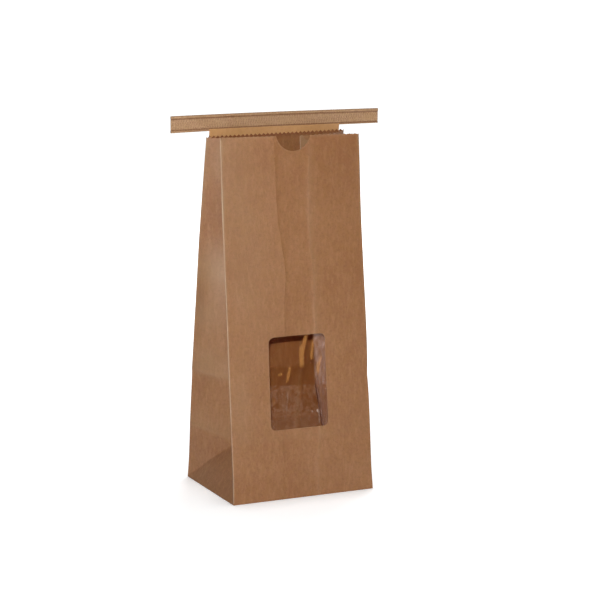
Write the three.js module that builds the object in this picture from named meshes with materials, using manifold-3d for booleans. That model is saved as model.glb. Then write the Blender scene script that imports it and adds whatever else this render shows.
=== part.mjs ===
// A small kraft paper bag that stands open: square base, side gussets folded inwards, a clear
// window in the front panel, a pinked mouth with a thumb notch, and a tin tie behind the mouth.
// Millimetres, +Z up. The base lies on z = 0, centred on the origin, and the front faces -Y.
import * as THREE from 'three';
import { mergeVertices } from 'three/addons/utils/BufferGeometryUtils.js';
import Module from 'manifold-3d';

const wasm = await Module();
wasm.setup();

// --- Driving dimensions -------------------------------------------------------------------

// Paper of the bag
const PANEL_WIDTH = 85.7;
const BASE_DEPTH = 63.5;
const PAPER_HEIGHT = 197.6;
const WALL = 0.7;
const BASE_THICKNESS = 1;

// How the empty bag closes towards its mouth
const FRONT_SET_BACK = 24;
const BACK_SET_FORWARD = 21.2;
const BACK_BELLY = 2.8;
const WAIST_DRAW_IN = 0.4;
const WAIST_HEIGHT = 12;
const MOUTH_DRAW_IN = 0.6;
const MOUTH_DRAW_IN_POWER = 5;

// Folds left by the flat-folded bag
const FRONT_CREASE_HEIGHT = 32;
const BACK_CREASE_HEIGHT = 28.5;
const GUSSET_CREASE_HEIGHT = 27;
const GUSSET_DROP = 1.2;
const FOLD_WIDTH = 1;

// Pinked edge of the mouth
const TEETH_PER_PANEL = 34;
const TOOTH_HEIGHT = 1.1;

// Thumb notch in the front panel
const NOTCH_CENTRE = 1.2;
const NOTCH_WIDTH = 19;
const NOTCH_DEPTH = 7.2;

// Window, measured along the front panel from its bottom fold
const WINDOW_WIDTH = 34.9;
const WINDOW_HEIGHT = 51;
const WINDOW_CENTRE = -1.25;
const WINDOW_SILL = 38.2;
const WINDOW_CORNER = 3;
const FILM_MARGIN = 6;
const FILM_THICKNESS = 0.4;

// Glued strip that carries the tie behind the back panel
const CARRIER_WIDTH = 78.3;
const CARRIER_BOTTOM = 186;
const CARRIER_TOP = 200.2;
const CARRIER_THICKNESS = 0.4;

// Tin tie: a paper web with a wire wrapped into each long edge
const TIE_LENGTH = 126;
const TIE_LEFT = { bottom: 198.6, top: 207.3, lowerBead: 1.5 };
const TIE_RIGHT = { bottom: 200, top: 208, lowerBead: 0.9 };
const TIE_UPPER_BEAD = 1.8;
const TIE_BEAD_THICKNESS = 1.3;
const TIE_WEB_THICKNESS = 0.6;

const GAP = 0.3;
const CUT_REACH = 4;

// --- Derived sizes ------------------------------------------------------------------------

const meanSetBack = (FRONT_SET_BACK + BACK_SET_FORWARD) / 2;
const mouthHeight = Math.sqrt(PAPER_HEIGHT ** 2 - meanSetBack ** 2);
const gussetHalf = BASE_DEPTH / 2;

const frontY = (z) => -BASE_DEPTH / 2 + FRONT_SET_BACK * (z / mouthHeight);

const backY = (z) => {
  const share = z / mouthHeight;
  return BASE_DEPTH / 2 - BACK_SET_FORWARD * share + BACK_BELLY * Math.sin(Math.PI * share);
};

const edgeX = (z) => {
  const waist = WAIST_DRAW_IN * Math.min(z / WAIST_HEIGHT, 1);
  const mouth = MOUTH_DRAW_IN * (z / mouthHeight) ** MOUTH_DRAW_IN_POWER;
  return PANEL_WIDTH / 2 - waist - mouth;
};

const lerp = THREE.MathUtils.lerp;

// --- Building blocks ----------------------------------------------------------------------

// Closed body through rings of equal length. Each ring runs counter-clockwise when it is seen
// from the last ring, and `plane` names the two axes in which that is so.
function loft(rings, plane) {
  const size = rings[0].length;
  const index = [];
  for (let ring = 0; ring < rings.length - 1; ring += 1) {
    for (let i = 0; i < size; i += 1) {
      const a = ring * size + i;
      const b = ring * size + ((i + 1) % size);
      index.push(a, b, b + size, a, b + size, a + size);
    }
  }
  const flat = (ring) => ring.map((p) => new THREE.Vector2(p[plane[0]], p[plane[1]]));
  const last = (rings.length - 1) * size;
  for (const [a, b, c] of THREE.ShapeUtils.triangulateShape(flat(rings[0]), [])) {
    index.push(c, b, a);
  }
  for (const [a, b, c] of THREE.ShapeUtils.triangulateShape(flat(rings.at(-1)), [])) {
    index.push(last + a, last + b, last + c);
  }
  const geometry = new THREE.BufferGeometry();
  geometry.setFromPoints(rings.flat());
  geometry.setIndex(index);
  return geometry;
}

function toSolid(geometry) {
  const bare = geometry.clone();
  bare.deleteAttribute('normal');
  bare.deleteAttribute('uv');
  const merged = mergeVertices(bare);
  const vertProperties = new Float32Array(merged.attributes.position.array);
  const triVerts = new Uint32Array(merged.index.array);
  return new wasm.Manifold(new wasm.Mesh({ numProp: 3, vertProperties, triVerts }));
}

function toGeometry(solid) {
  const { vertProperties, triVerts } = solid.getMesh();
  const geometry = new THREE.BufferGeometry();
  geometry.setAttribute('position', new THREE.BufferAttribute(vertProperties, 3));
  geometry.setIndex(new THREE.BufferAttribute(triVerts, 1));
  const facets = geometry.toNonIndexed();
  facets.computeVertexNormals();
  return facets;
}

// Moves each side of a level counter-clockwise ring inwards by the distance.
function inset(ring, distance) {
  const leftOf = (from, to) => new THREE.Vector2(from.y - to.y, to.x - from.x).normalize();
  return ring.map((point, i) => {
    const before = leftOf(ring.at(i - 1), point);
    const after = leftOf(point, ring[(i + 1) % ring.length]);
    const shift = before.clone().add(after).multiplyScalar(distance / (1 + before.dot(after)));
    return new THREE.Vector3(point.x + shift.x, point.y + shift.y, point.z);
  });
}

// Frame of the front panel: x across it, y up it from the bottom fold, z out of it.
function frontPanelFrame() {
  const up = new THREE.Vector3(0, FRONT_SET_BACK, mouthHeight).normalize();
  const across = new THREE.Vector3(1, 0, 0);
  const out = new THREE.Vector3().crossVectors(across, up);
  return new THREE.Matrix4().makeBasis(across, up, out).setPosition(0, -BASE_DEPTH / 2, 0);
}

function frontPanelCutter(shape) {
  const geometry = new THREE.ExtrudeGeometry(shape, {
    depth: 2 * CUT_REACH,
    bevelEnabled: false,
    curveSegments: 8,
  });
  geometry.translate(0, 0, -CUT_REACH);
  geometry.applyMatrix4(frontPanelFrame());
  return toSolid(geometry);
}

// --- Bag ----------------------------------------------------------------------------------

// How far the bottom of the gusset's valley lies inside the bag's edges, when the front and back
// panels are twice halfDepth apart and each half of the gusset keeps its width.
const valleyDepth = (halfDepth) => Math.sqrt(gussetHalf ** 2 - halfDepth ** 2);

const creaseValley = valleyDepth((backY(BACK_CREASE_HEIGHT) - frontY(FRONT_CREASE_HEIGHT)) / 2);

// One side of a level: the front edge, the two folds of the gusset and the back edge, each at
// its own height. `spread` is 1 at the base, where the folds start in the corners, and falls to
// 0 at the crease, above which they lie FOLD_WIDTH apart at the bottom of the valley.
function sideLevel({ front, gusset, back }, spread) {
  const halfDepth = (backY(back) - frontY(front)) / 2;
  const middle = (backY(back) + frontY(front)) / 2;
  const valley = spread > 0 ? creaseValley * (1 - spread) : valleyDepth(halfDepth);
  const foldX = edgeX(gusset) - valley;
  const reach = lerp(FOLD_WIDTH / 2, gussetHalf - FOLD_WIDTH, spread);
  return {
    front: new THREE.Vector3(edgeX(front), frontY(front), front),
    frontFold: new THREE.Vector3(foldX, middle - reach, gusset),
    backFold: new THREE.Vector3(foldX, middle + reach, gusset),
    back: new THREE.Vector3(edgeX(back), backY(back), back),
  };
}

const mirrored = (point) => new THREE.Vector3(-point.x, point.y, point.z);

function ringOf(side) {
  return [
    mirrored(side.front),
    side.front,
    side.frontFold,
    side.backFold,
    side.back,
    mirrored(side.back),
    mirrored(side.backFold),
    mirrored(side.frontFold),
  ];
}

// Level below the crease: share 0 is the base and 1 the crease.
function lowerLevel(share) {
  const heights = {
    front: FRONT_CREASE_HEIGHT * share,
    gusset: GUSSET_CREASE_HEIGHT * share,
    back: BACK_CREASE_HEIGHT * share,
  };
  return ringOf(sideLevel(heights, 1 - share));
}

// Level above the crease: share 0 is the crease and 1 the mouth.
function upperLevel(share) {
  const heights = {
    front: lerp(FRONT_CREASE_HEIGHT, mouthHeight, share),
    gusset: lerp(GUSSET_CREASE_HEIGHT, mouthHeight - GUSSET_DROP, share),
    back: lerp(BACK_CREASE_HEIGHT, mouthHeight, share),
  };
  return ringOf(sideLevel(heights, 0));
}

// Levels from a share of the height below the crease up to a share of the height above it.
function levels(lowest, highest) {
  const lowerSteps = 4;
  const upperSteps = 14;
  const rings = [];
  for (let step = 0; step < lowerSteps; step += 1) {
    rings.push(lowerLevel(lerp(lowest, 1, step / lowerSteps)));
  }
  for (let step = 0; step < upperSteps; step += 1) {
    rings.push(upperLevel(step / upperSteps));
  }
  rings.push(upperLevel(highest));
  return rings;
}

// Everything above the pinked edge: a comb of teeth along X whose cut dips by GUSSET_DROP
// towards the folds of the gussets.
function mouthCutter() {
  const pitch = PANEL_WIDTH / TEETH_PER_PANEL;
  const halfTeeth = TEETH_PER_PANEL + 2;
  const roof = mouthHeight + 10 * TOOTH_HEIGHT;
  const middle = (frontY(mouthHeight) + backY(mouthHeight)) / 2;
  const stations = [
    { y: -BASE_DEPTH, drop: 0 },
    { y: frontY(mouthHeight), drop: 0 },
    { y: middle, drop: GUSSET_DROP },
    { y: backY(mouthHeight), drop: 0 },
    { y: BASE_DEPTH, drop: 0 },
  ];
  const rings = stations.map(({ y, drop }) => {
    const ring = [];
    for (let step = halfTeeth; step >= -halfTeeth; step -= 1) {
      const peak = step % 2 === 0 ? TOOTH_HEIGHT / 2 : -TOOTH_HEIGHT / 2;
      ring.push(new THREE.Vector3(step * (pitch / 2), y, mouthHeight + peak - drop));
    }
    ring.push(new THREE.Vector3(-halfTeeth * (pitch / 2), y, roof));
    ring.push(new THREE.Vector3(halfTeeth * (pitch / 2), y, roof));
    return ring;
  });
  return toSolid(loft(rings, 'zx'));
}

function windowShape() {
  const halfWidth = WINDOW_WIDTH / 2;
  const left = WINDOW_CENTRE - halfWidth;
  const right = WINDOW_CENTRE + halfWidth;
  const head = WINDOW_SILL + WINDOW_HEIGHT;
  const r = WINDOW_CORNER;
  const shape = new THREE.Shape();
  shape.absarc(right - r, WINDOW_SILL + r, r, -Math.PI / 2, 0);
  shape.absarc(right - r, head - r, r, 0, Math.PI / 2);
  shape.absarc(left + r, head - r, r, Math.PI / 2, Math.PI);
  shape.absarc(left + r, WINDOW_SILL + r, r, Math.PI, 1.5 * Math.PI);
  return shape;
}

// Circle that meets the paper's edge NOTCH_WIDTH apart and reaches NOTCH_DEPTH below it.
function notchShape() {
  const radius = (NOTCH_WIDTH ** 2 / 4 + NOTCH_DEPTH ** 2) / (2 * NOTCH_DEPTH);
  const centre = PAPER_HEIGHT - NOTCH_DEPTH + radius;
  return new THREE.Shape().absarc(NOTCH_CENTRE, centre, radius, 0, 2 * Math.PI);
}

function bagGeometry() {
  const untrimmed = 1.02;
  const floor = BASE_THICKNESS / FRONT_CREASE_HEIGHT;
  const hollow = levels(floor, untrimmed + 0.02).map((ring) => inset(ring, WALL));
  const outside = toSolid(loft(levels(0, untrimmed), 'xy'));
  const inside = toSolid(loft(hollow, 'xy'));
  return toGeometry(
    outside
      .subtract(inside)
      .subtract(mouthCutter())
      .subtract(frontPanelCutter(windowShape()))
      .subtract(frontPanelCutter(notchShape())),
  );
}

// --- Film, carrier strip and tie ----------------------------------------------------------

// Thin sheet that follows a panel: its front face lies `behind` the panel's outer face.
function sheet(panelY, behind, thickness, x, z) {
  const rows = 4;
  const rings = [];
  for (let row = 0; row <= rows; row += 1) {
    const height = lerp(z.from, z.to, row / rows);
    const near = panelY(height) + behind;
    const far = near + thickness;
    rings.push([
      new THREE.Vector3(x.from, near, height),
      new THREE.Vector3(x.to, near, height),
      new THREE.Vector3(x.to, far, height),
      new THREE.Vector3(x.from, far, height),
    ]);
  }
  return loft(rings, 'xy');
}

function filmGeometry() {
  const reach = WINDOW_WIDTH / 2 + FILM_MARGIN;
  const rise = mouthHeight / PAPER_HEIGHT;
  const x = { from: WINDOW_CENTRE - reach, to: WINDOW_CENTRE + reach };
  const z = {
    from: (WINDOW_SILL - FILM_MARGIN) * rise,
    to: (WINDOW_SILL + WINDOW_HEIGHT + FILM_MARGIN) * rise,
  };
  return sheet(frontY, WALL + GAP, FILM_THICKNESS, x, z);
}

function carrierGeometry() {
  const x = { from: -CARRIER_WIDTH / 2, to: CARRIER_WIDTH / 2 };
  const z = { from: CARRIER_BOTTOM, to: CARRIER_TOP };
  return sheet(backY, GAP, CARRIER_THICKNESS, x, z);
}

// Section of the tie across its length, counter-clockwise in the (y, z) plane: an oval bead
// round each wire, joined by the web.
function tieSection(x, end) {
  const halfBead = TIE_BEAD_THICKNESS / 2;
  const middleY = backY(CARRIER_TOP) + 2 * GAP + CARRIER_THICKNESS + halfBead;
  const neck = Math.acos(TIE_WEB_THICKNESS / TIE_BEAD_THICKNESS);
  const beadSteps = 10;
  const bead = (centreZ, halfHeight, from, to) => {
    const points = [];
    for (let step = 0; step <= beadSteps; step += 1) {
      const angle = lerp(from, to, step / beadSteps);
      const y = middleY + halfBead * Math.cos(angle);
      points.push(new THREE.Vector3(x, y, centreZ + halfHeight * Math.sin(angle)));
    }
    return points;
  };
  const lower = end.lowerBead / 2;
  const upper = TIE_UPPER_BEAD / 2;
  return [
    ...bead(end.bottom + lower, lower, Math.PI - neck, 2 * Math.PI + neck),
    ...bead(end.top - upper, upper, -neck, Math.PI + neck),
  ];
}

function tieGeometry() {
  const rings = [tieSection(-TIE_LENGTH / 2, TIE_LEFT), tieSection(TIE_LENGTH / 2, TIE_RIGHT)];
  return loft(rings, 'yz');
}

// --- Assembly -----------------------------------------------------------------------------

function piece(name, geometry, color, roughness) {
  const material = new THREE.MeshStandardMaterial({ color, roughness, metalness: 0 });
  const mesh = new THREE.Mesh(geometry, material);
  mesh.name = name;
  return mesh;
}

const bag = new THREE.Group();
bag.add(piece('bag_body', bagGeometry(), 0x9e7151, 0.75));
bag.add(piece('window_film', filmGeometry(), 0xd9d4cc, 0.15));
bag.add(piece('carrier_strip', carrierGeometry(), 0xab7f56, 0.6));
bag.add(piece('tin_tie', tieGeometry(), 0xa58161, 0.7));

export default bag;
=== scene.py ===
"""A small kraft paper window bag with a tin tie, standing empty and open on a pale table.

Lengths are in metres, with Z up, X along the front panel and the front facing -Y. The origin is
the middle of the base, on the table. The paper is described once, by BagForm, as a function of
two parameters, girth and height, and every piece that lies on the paper asks it for its place.
"""

import logging
import math
from dataclasses import dataclass
from enum import Enum

import bpy
import numpy as np
from mathutils import Matrix, Vector


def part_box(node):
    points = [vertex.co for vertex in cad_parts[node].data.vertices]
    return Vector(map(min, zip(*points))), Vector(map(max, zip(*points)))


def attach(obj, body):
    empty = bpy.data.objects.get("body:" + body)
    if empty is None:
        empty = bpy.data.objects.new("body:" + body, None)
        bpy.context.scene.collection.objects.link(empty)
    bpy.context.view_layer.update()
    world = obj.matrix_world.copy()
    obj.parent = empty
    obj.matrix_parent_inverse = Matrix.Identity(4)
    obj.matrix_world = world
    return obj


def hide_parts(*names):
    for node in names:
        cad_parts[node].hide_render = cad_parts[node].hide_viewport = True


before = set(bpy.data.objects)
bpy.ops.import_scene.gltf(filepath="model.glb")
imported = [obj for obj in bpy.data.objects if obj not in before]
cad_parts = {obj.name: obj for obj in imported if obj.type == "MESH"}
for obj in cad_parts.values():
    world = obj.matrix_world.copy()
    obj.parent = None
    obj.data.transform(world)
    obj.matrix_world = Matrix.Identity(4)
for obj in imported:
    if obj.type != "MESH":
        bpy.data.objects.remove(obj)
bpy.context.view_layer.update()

MM = 0.001
ROOT = "root"
TINY = 1e-9
Array = np.ndarray
Pair = tuple[float, float]
Place = tuple[float, float, float]
Colour = tuple[int, int, int]
Counts = tuple[int, int]
Piece = bpy.types.Object
Socket = bpy.types.NodeSocket
Value = Socket | float | tuple[float, ...] | Vector
log = logging.getLogger("window_bag")


# --- Surfaces -------------------------------------------------------------------------------


@dataclass
class Surface:
    """A mesh as whole arrays: points (n, 3), four-sided faces (q, 4) and triangles (t, 3)."""

    points: Array
    quads: Array
    triangles: Array
    wear_and_painted_light: Array | None = None

    def to_object(self, name: str, smooth_below: float = 50.0) -> Piece:
        """Put the surface into a new mesh object.

        Args:
            name: The object's name.
            smooth_below: Edges that turn by fewer degrees than this are shaded smooth.

        Returns:
            The object, linked to the scene.
        """
        mesh = bpy.data.meshes.new(name)
        corners = np.concatenate([self.quads.ravel(), self.triangles.ravel()]).astype(np.int32)
        totals = np.concatenate([
            np.full(len(self.quads), 4, np.int32),
            np.full(len(self.triangles), 3, np.int32),
        ])
        starts = np.concatenate([[0], np.cumsum(totals)[:-1]]).astype(np.int32)
        mesh.vertices.add(len(self.points))
        mesh.vertices.foreach_set("co", self.points.astype(np.float32).ravel())
        mesh.loops.add(len(corners))
        mesh.loops.foreach_set("vertex_index", corners)
        mesh.polygons.add(len(totals))
        mesh.polygons.foreach_set("loop_start", starts)
        mesh.polygons.foreach_set("loop_total", totals)
        mesh.polygons.foreach_set("use_smooth", np.ones(len(totals), bool))
        mesh.update(calc_edges=True)
        # The per-point value makes the colour paler or darker: rubbed paper, and also painted sheen,
        # painted highlights, painted shade and painted glints.
        if self.wear_and_painted_light is not None:
            layer = mesh.attributes.new("wear_and_painted_light", "FLOAT", "POINT")
            layer.data.foreach_set("value", self.wear_and_painted_light.astype(np.float32))
        mesh.validate()
        mesh.set_sharp_from_angle(angle=math.radians(smooth_below))
        piece = bpy.data.objects.new(name, mesh)
        bpy.context.scene.collection.objects.link(piece)
        return piece


NO_TRIANGLES = np.empty((0, 3), int)


def lattice(rows: Array, columns: Array) -> tuple[Array, Array]:
    """Every row value beside every column value, as two grids (rows, columns)."""
    row, column = np.meshgrid(rows, columns, indexing="ij")
    return row, column


def grid_quads(rows: int, columns: int, closed: bool = False) -> Array:
    """Join a grid of rows x columns points by four-sided faces.

    Args:
        rows: Number of rows.
        columns: Number of points in a row.
        closed: Whether the last column joins the first.

    Returns:
        Faces as (q, 4) indices, counter-clockwise when columns run right and rows run up.
    """
    row, column = lattice(np.arange(rows - 1), np.arange(columns if closed else columns - 1))
    here = row * columns + column
    beside = row * columns + (column + 1) % columns
    return np.stack([here, beside, beside + columns, here + columns], -1).reshape(-1, 4)


def open_edges(quads: Array, triangles: Array) -> Array:
    """Find the edges that only one face uses.

    Args:
        quads: Four-sided faces (q, 4).
        triangles: Triangles (t, 3).

    Returns:
        Directed edges (e, 2), each in its own face's direction.
    """
    edges = np.concatenate([
        np.stack([quads, np.roll(quads, -1, 1)], -1).reshape(-1, 2),
        np.stack([triangles, np.roll(triangles, -1, 1)], -1).reshape(-1, 2),
    ])
    size = int(edges.max()) + 1
    forward = edges[:, 0] * size + edges[:, 1]
    backward = edges[:, 1] * size + edges[:, 0]
    return edges[~np.isin(forward, backward)]


def closed_wall(outer: Array, inner: Array, quads: Array, triangles: Array) -> Surface:
    """Make a closed wall from a sheet and its copy on the other side, joined along every rim.

    Args:
        outer: Points of the outer face (n, 3).
        inner: The same points moved to the inner face.
        quads: Four-sided faces of the outer face.
        triangles: Triangles of the outer face.

    Returns:
        The closed surface, with the rim faces last among its quads.
    """
    count = len(outer)
    rim = open_edges(quads, triangles)
    rim_quads = np.stack([rim[:, 1], rim[:, 0], rim[:, 0] + count, rim[:, 1] + count], -1)
    return Surface(
        np.concatenate([outer, inner]),
        np.concatenate([quads, quads[:, ::-1] + count, rim_quads]),
        np.concatenate([triangles, triangles[:, ::-1] + count]),
    )


def slab(face: Array, back: Array) -> Surface:
    """Close two grids of points into one thin body.

    Args:
        face: Points (rows, columns, 3) of the side that faces outwards.
        back: Points of the other side.

    Returns:
        The closed surface.
    """
    rows, columns = face.shape[:2]
    quads = grid_quads(rows, columns)
    return closed_wall(face.reshape(-1, 3), back.reshape(-1, 3), quads, NO_TRIANGLES)


def tube(rings: Array) -> Surface:
    """Close rings of points (rings, points, 3) into a tube with a fan over each end.

    Args:
        rings: Each ring runs counter-clockwise when it is seen from the last ring.

    Returns:
        The closed tube.
    """
    count, size = rings.shape[:2]
    middles = rings[[0, -1]].mean(1)
    first_middle = np.full(size, count * size)
    around = np.arange(size)
    ahead = (around + 1) % size
    end = (count - 1) * size
    fans = np.concatenate([
        np.stack([first_middle, ahead, around], -1),
        np.stack([first_middle + 1, around + end, ahead + end], -1),
    ])
    points = np.concatenate([rings.reshape(-1, 3), middles])
    return Surface(points, grid_quads(count, size, closed=True), fans)


def smooth_step(value: Array) -> Array:
    """Rise from 0 to 1 as value goes from 0 to 1, by 3v^2 - 2v^3."""
    clipped = np.clip(value, 0.0, 1.0)
    return clipped * clipped * (3.0 - 2.0 * clipped)


def between(low: Array | float, high: Array | float, share: Array | float) -> Array | float:
    """Go from low to high in proportion to share."""
    return low + (high - low) * share


def eased(count: int) -> Array:
    """Shares from 0 to 1 that lie closer together at both ends, by half a cosine."""
    return (1 - np.cos(np.linspace(0, np.pi, count))) / 2


# --- Form of the paper ----------------------------------------------------------------------


class Side(Enum):
    """The four sides of the bag, in the order in which the girth passes them."""

    FRONT = "front"
    RIGHT = "right"
    BACK = "back"
    LEFT = "left"


FRONT, RIGHT, BACK, LEFT = Side


@dataclass(frozen=True)
class Crease:
    """A line along which the paper is pressed or buckled.

    Its profile is rise * exp(-|d| / reach), d being the distance from the line, with one reach
    below it, or before it round the girth, and another above or after it. It fades out at its
    ends.
    """

    side: Side
    start: Pair
    end: Pair
    rise: float
    reach: Pair


@dataclass(frozen=True)
class Bulge:
    """A soft swell: rise * exp(-(across / radius)^2 - (up / radius)^2) round its centre."""

    side: Side
    centre: Pair
    radius: Pair
    rise: float


# Places on the paper are (across, up) in millimetres on each side. Across is X on the front and
# back, and the distance from the front edge on a gusset. Rise is outwards.
CREASES = (
    # Fold across the front and back, where the base was folded up against the flat bag
    Crease(FRONT, (-43, 32.3), (43, 32.8), 0.30, (1.0, 7.0)),
    Crease(BACK, (-43, 32), (43, 32), -0.45, (5, 1.5)),
    # Glued lap seam down the back: a step on one side, which eases off into the sheet
    Crease(BACK, (26, -20), (26, 184), 0.36, (0.3, 11)),
    # Edges of the folded gussets, printed through the panels as low steps
    Crease(FRONT, (-10.9, -20), (-10.9, 230), 0.28, (22, 0.9)),
    Crease(FRONT, (-10.9, 40), (-10.9, 230), 0.50, (22, 6)),
    Crease(FRONT, (10.1, -20), (10.1, 230), 0.24, (1.2, 22)),
    Crease(FRONT, (10.1, 70), (10.1, 112), 0.15, (0.9, 14)),
    Crease(BACK, (-11, -20), (-11, 180), 0.12, (22, 1.5)),
    Crease(BACK, (11, -20), (11, 180), 0.12, (1.5, 22)),
    Crease(FRONT, (-43, 1.4), (43, 1.4), -0.2, (0.5, 0.9)),
    # Small wrinkles over the bottom fold
    Crease(FRONT, (6.5, 3.0), (19, 7.5), -0.45, (0.8, 2.0)),
    Crease(FRONT, (24, 13), (43.5, 17.5), 0.34, (1.1, 4.0)),
    # Buckle that runs across the back and round into both gussets
    Crease(BACK, (-43, 64.5), (38, 63), -2.6, (7, 9)),
    Crease(BACK, (-43, 50), (38, 49.5), 0.35, (1.5, 2.5)),
    Crease(LEFT, (67, 66.8), (34, 66.4), 0.85, (1.2, 7)),
    Crease(LEFT, (67, 35.0), (28, 34.0), 0.45, (1.0, 6)),
    Crease(LEFT, (62, 77), (47, 69.5), -0.30, (1.2, 2.2)),
    Crease(LEFT, (60, 120), (40, 116), 0.22, (1.4, 4)),
    Crease(LEFT, (62, 172), (38, 170), 0.14, (1.6, 3)),
    Crease(LEFT, (62, 160), (42, 158), 0.16, (1.6, 3)),
    Crease(LEFT, (62, 151), (40, 152), 0.12, (1.6, 3)),
    Crease(RIGHT, (66, 66), (42, 58), 0.45, (1.4, 6)),
    Crease(RIGHT, (-4, 64), (26, 62), -1.5, (4.5, 7)),
)

BULGES = (
    Bulge(FRONT, (0, 192), (30, 46), 0.9),
    Bulge(FRONT, (0, 130), (26, 40), 0.8),
    Bulge(FRONT, (2, 78), (24, 30), -0.7),
    Bulge(BACK, (0, 105), (26, 40), 0.6),
    Bulge(LEFT, (58, 106), (13, 16), 2.0),
    Bulge(LEFT, (48, 140), (13, 12), -0.9),
    Bulge(LEFT, (46, 70), (13, 9), 0.8),
    Bulge(LEFT, (38, 17), (18, 10), 0.9),
    Bulge(LEFT, (14, 120), (13, 34), 0.8),
    Bulge(RIGHT, (47, 118), (14, 20), 1.1),
    Bulge(RIGHT, (47, 158), (13, 18), -0.7),
    Bulge(RIGHT, (15, 108), (13, 30), 0.9),
)

# Patches of painted light: paler where sheen is painted on the bulges of the gusset and the front,
# and darker, below 0, where shade is painted; rise is how much, from 0 to 1. A line is a fold, a
# crease or the seam, and its two reaches say on which side of it.
PAINTED_LIGHT_PATCHES = (
    Bulge(LEFT, (54, 184), (12, 12), 0.25),
    Bulge(LEFT, (54, 156), (12, 9), -0.15),
    Bulge(LEFT, (54, 124), (12, 13), 0.60),
    Bulge(LEFT, (56, 98), (14, 12), 0.42),
    Bulge(LEFT, (54, 74), (16, 9), 0.30),
    Bulge(FRONT, (-36, 190), (14, 60), 0.22),
    Bulge(FRONT, (-28, 118), (14, 36), 0.16),
    Bulge(FRONT, (-37, 55), (8, 22), 0.25),
    Bulge(LEFT, (46, 22), (24, 10), -0.12),
    Bulge(FRONT, (38, 182), (13, 30), -0.12),
    Bulge(FRONT, (8, 14), (40, 12), -0.05),
    Bulge(RIGHT, (29, 192), (8, 16), 0.66),
)
# Lines of painted light and wear: a painted highlight along the printed fold edge on the front, a
# painted step from shade to light across the creases of the gusset and the front, and along the seam
# a pale edge with the glue darker beside it.
WORN_AND_PAINTED_LIGHT_LINES = (
    Crease(LEFT, (68, 66.8), (30, 66.3), 0.30, (0.6, 10)),
    Crease(LEFT, (68, 35.0), (24, 33.9), 0.34, (0.6, 14)),
    Crease(FRONT, (10.6, 84), (10.2, 200), 0.30, (0.4, 2.0)),
    Crease(FRONT, (10.6, -6), (10.6, 40), 0.20, (0.4, 1.2)),
    Crease(FRONT, (-46, 32.2), (46, 32.8), 0.10, (0.6, 10)),
    Crease(BACK, (26.0, -12), (26.0, 212), 0.70, (0.35, 1.0)),
    Crease(BACK, (27.2, -12), (27.2, 212), -0.45, (0.9, 0.5)),
)

# Uneven swell of the paper: for each wave its size, then how many waves go round the girth and
# half-waves up to the mouth, each with its phase.
SWELLS = ((1.0, 5, 1.1, 3, 0.4), (0.7, 9, 2.3, 5, 1.9), (0.5, 14, 0.3, 8, 3.1))

# Edges of the folded gussets, as they are printed through the panels: X in millimetres. On the
# front each wanders: it shifts by so much at so high, in millimetres too.
BACK_PRINTS = (-11.0, 11.0)
FRONT_PRINTS = (
    (
        -10.9,
        (12, 34, 60, 94, 107, 120, 127, 140, 150, 165),
        (-1.3, -1.1, 0.2, 2.6, 2.8, 4.3, 3.9, 2.4, 0.9, 0.3),
    ),
    (
        10.1,
        (14, 36, 60, 94, 110, 127, 135, 150, 168, 185),
        (-1.6, 0.8, 0.5, 0.6, 0.2, 0.0, -1.1, -1.2, -0.8, 0.1),
    ),
)


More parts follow.
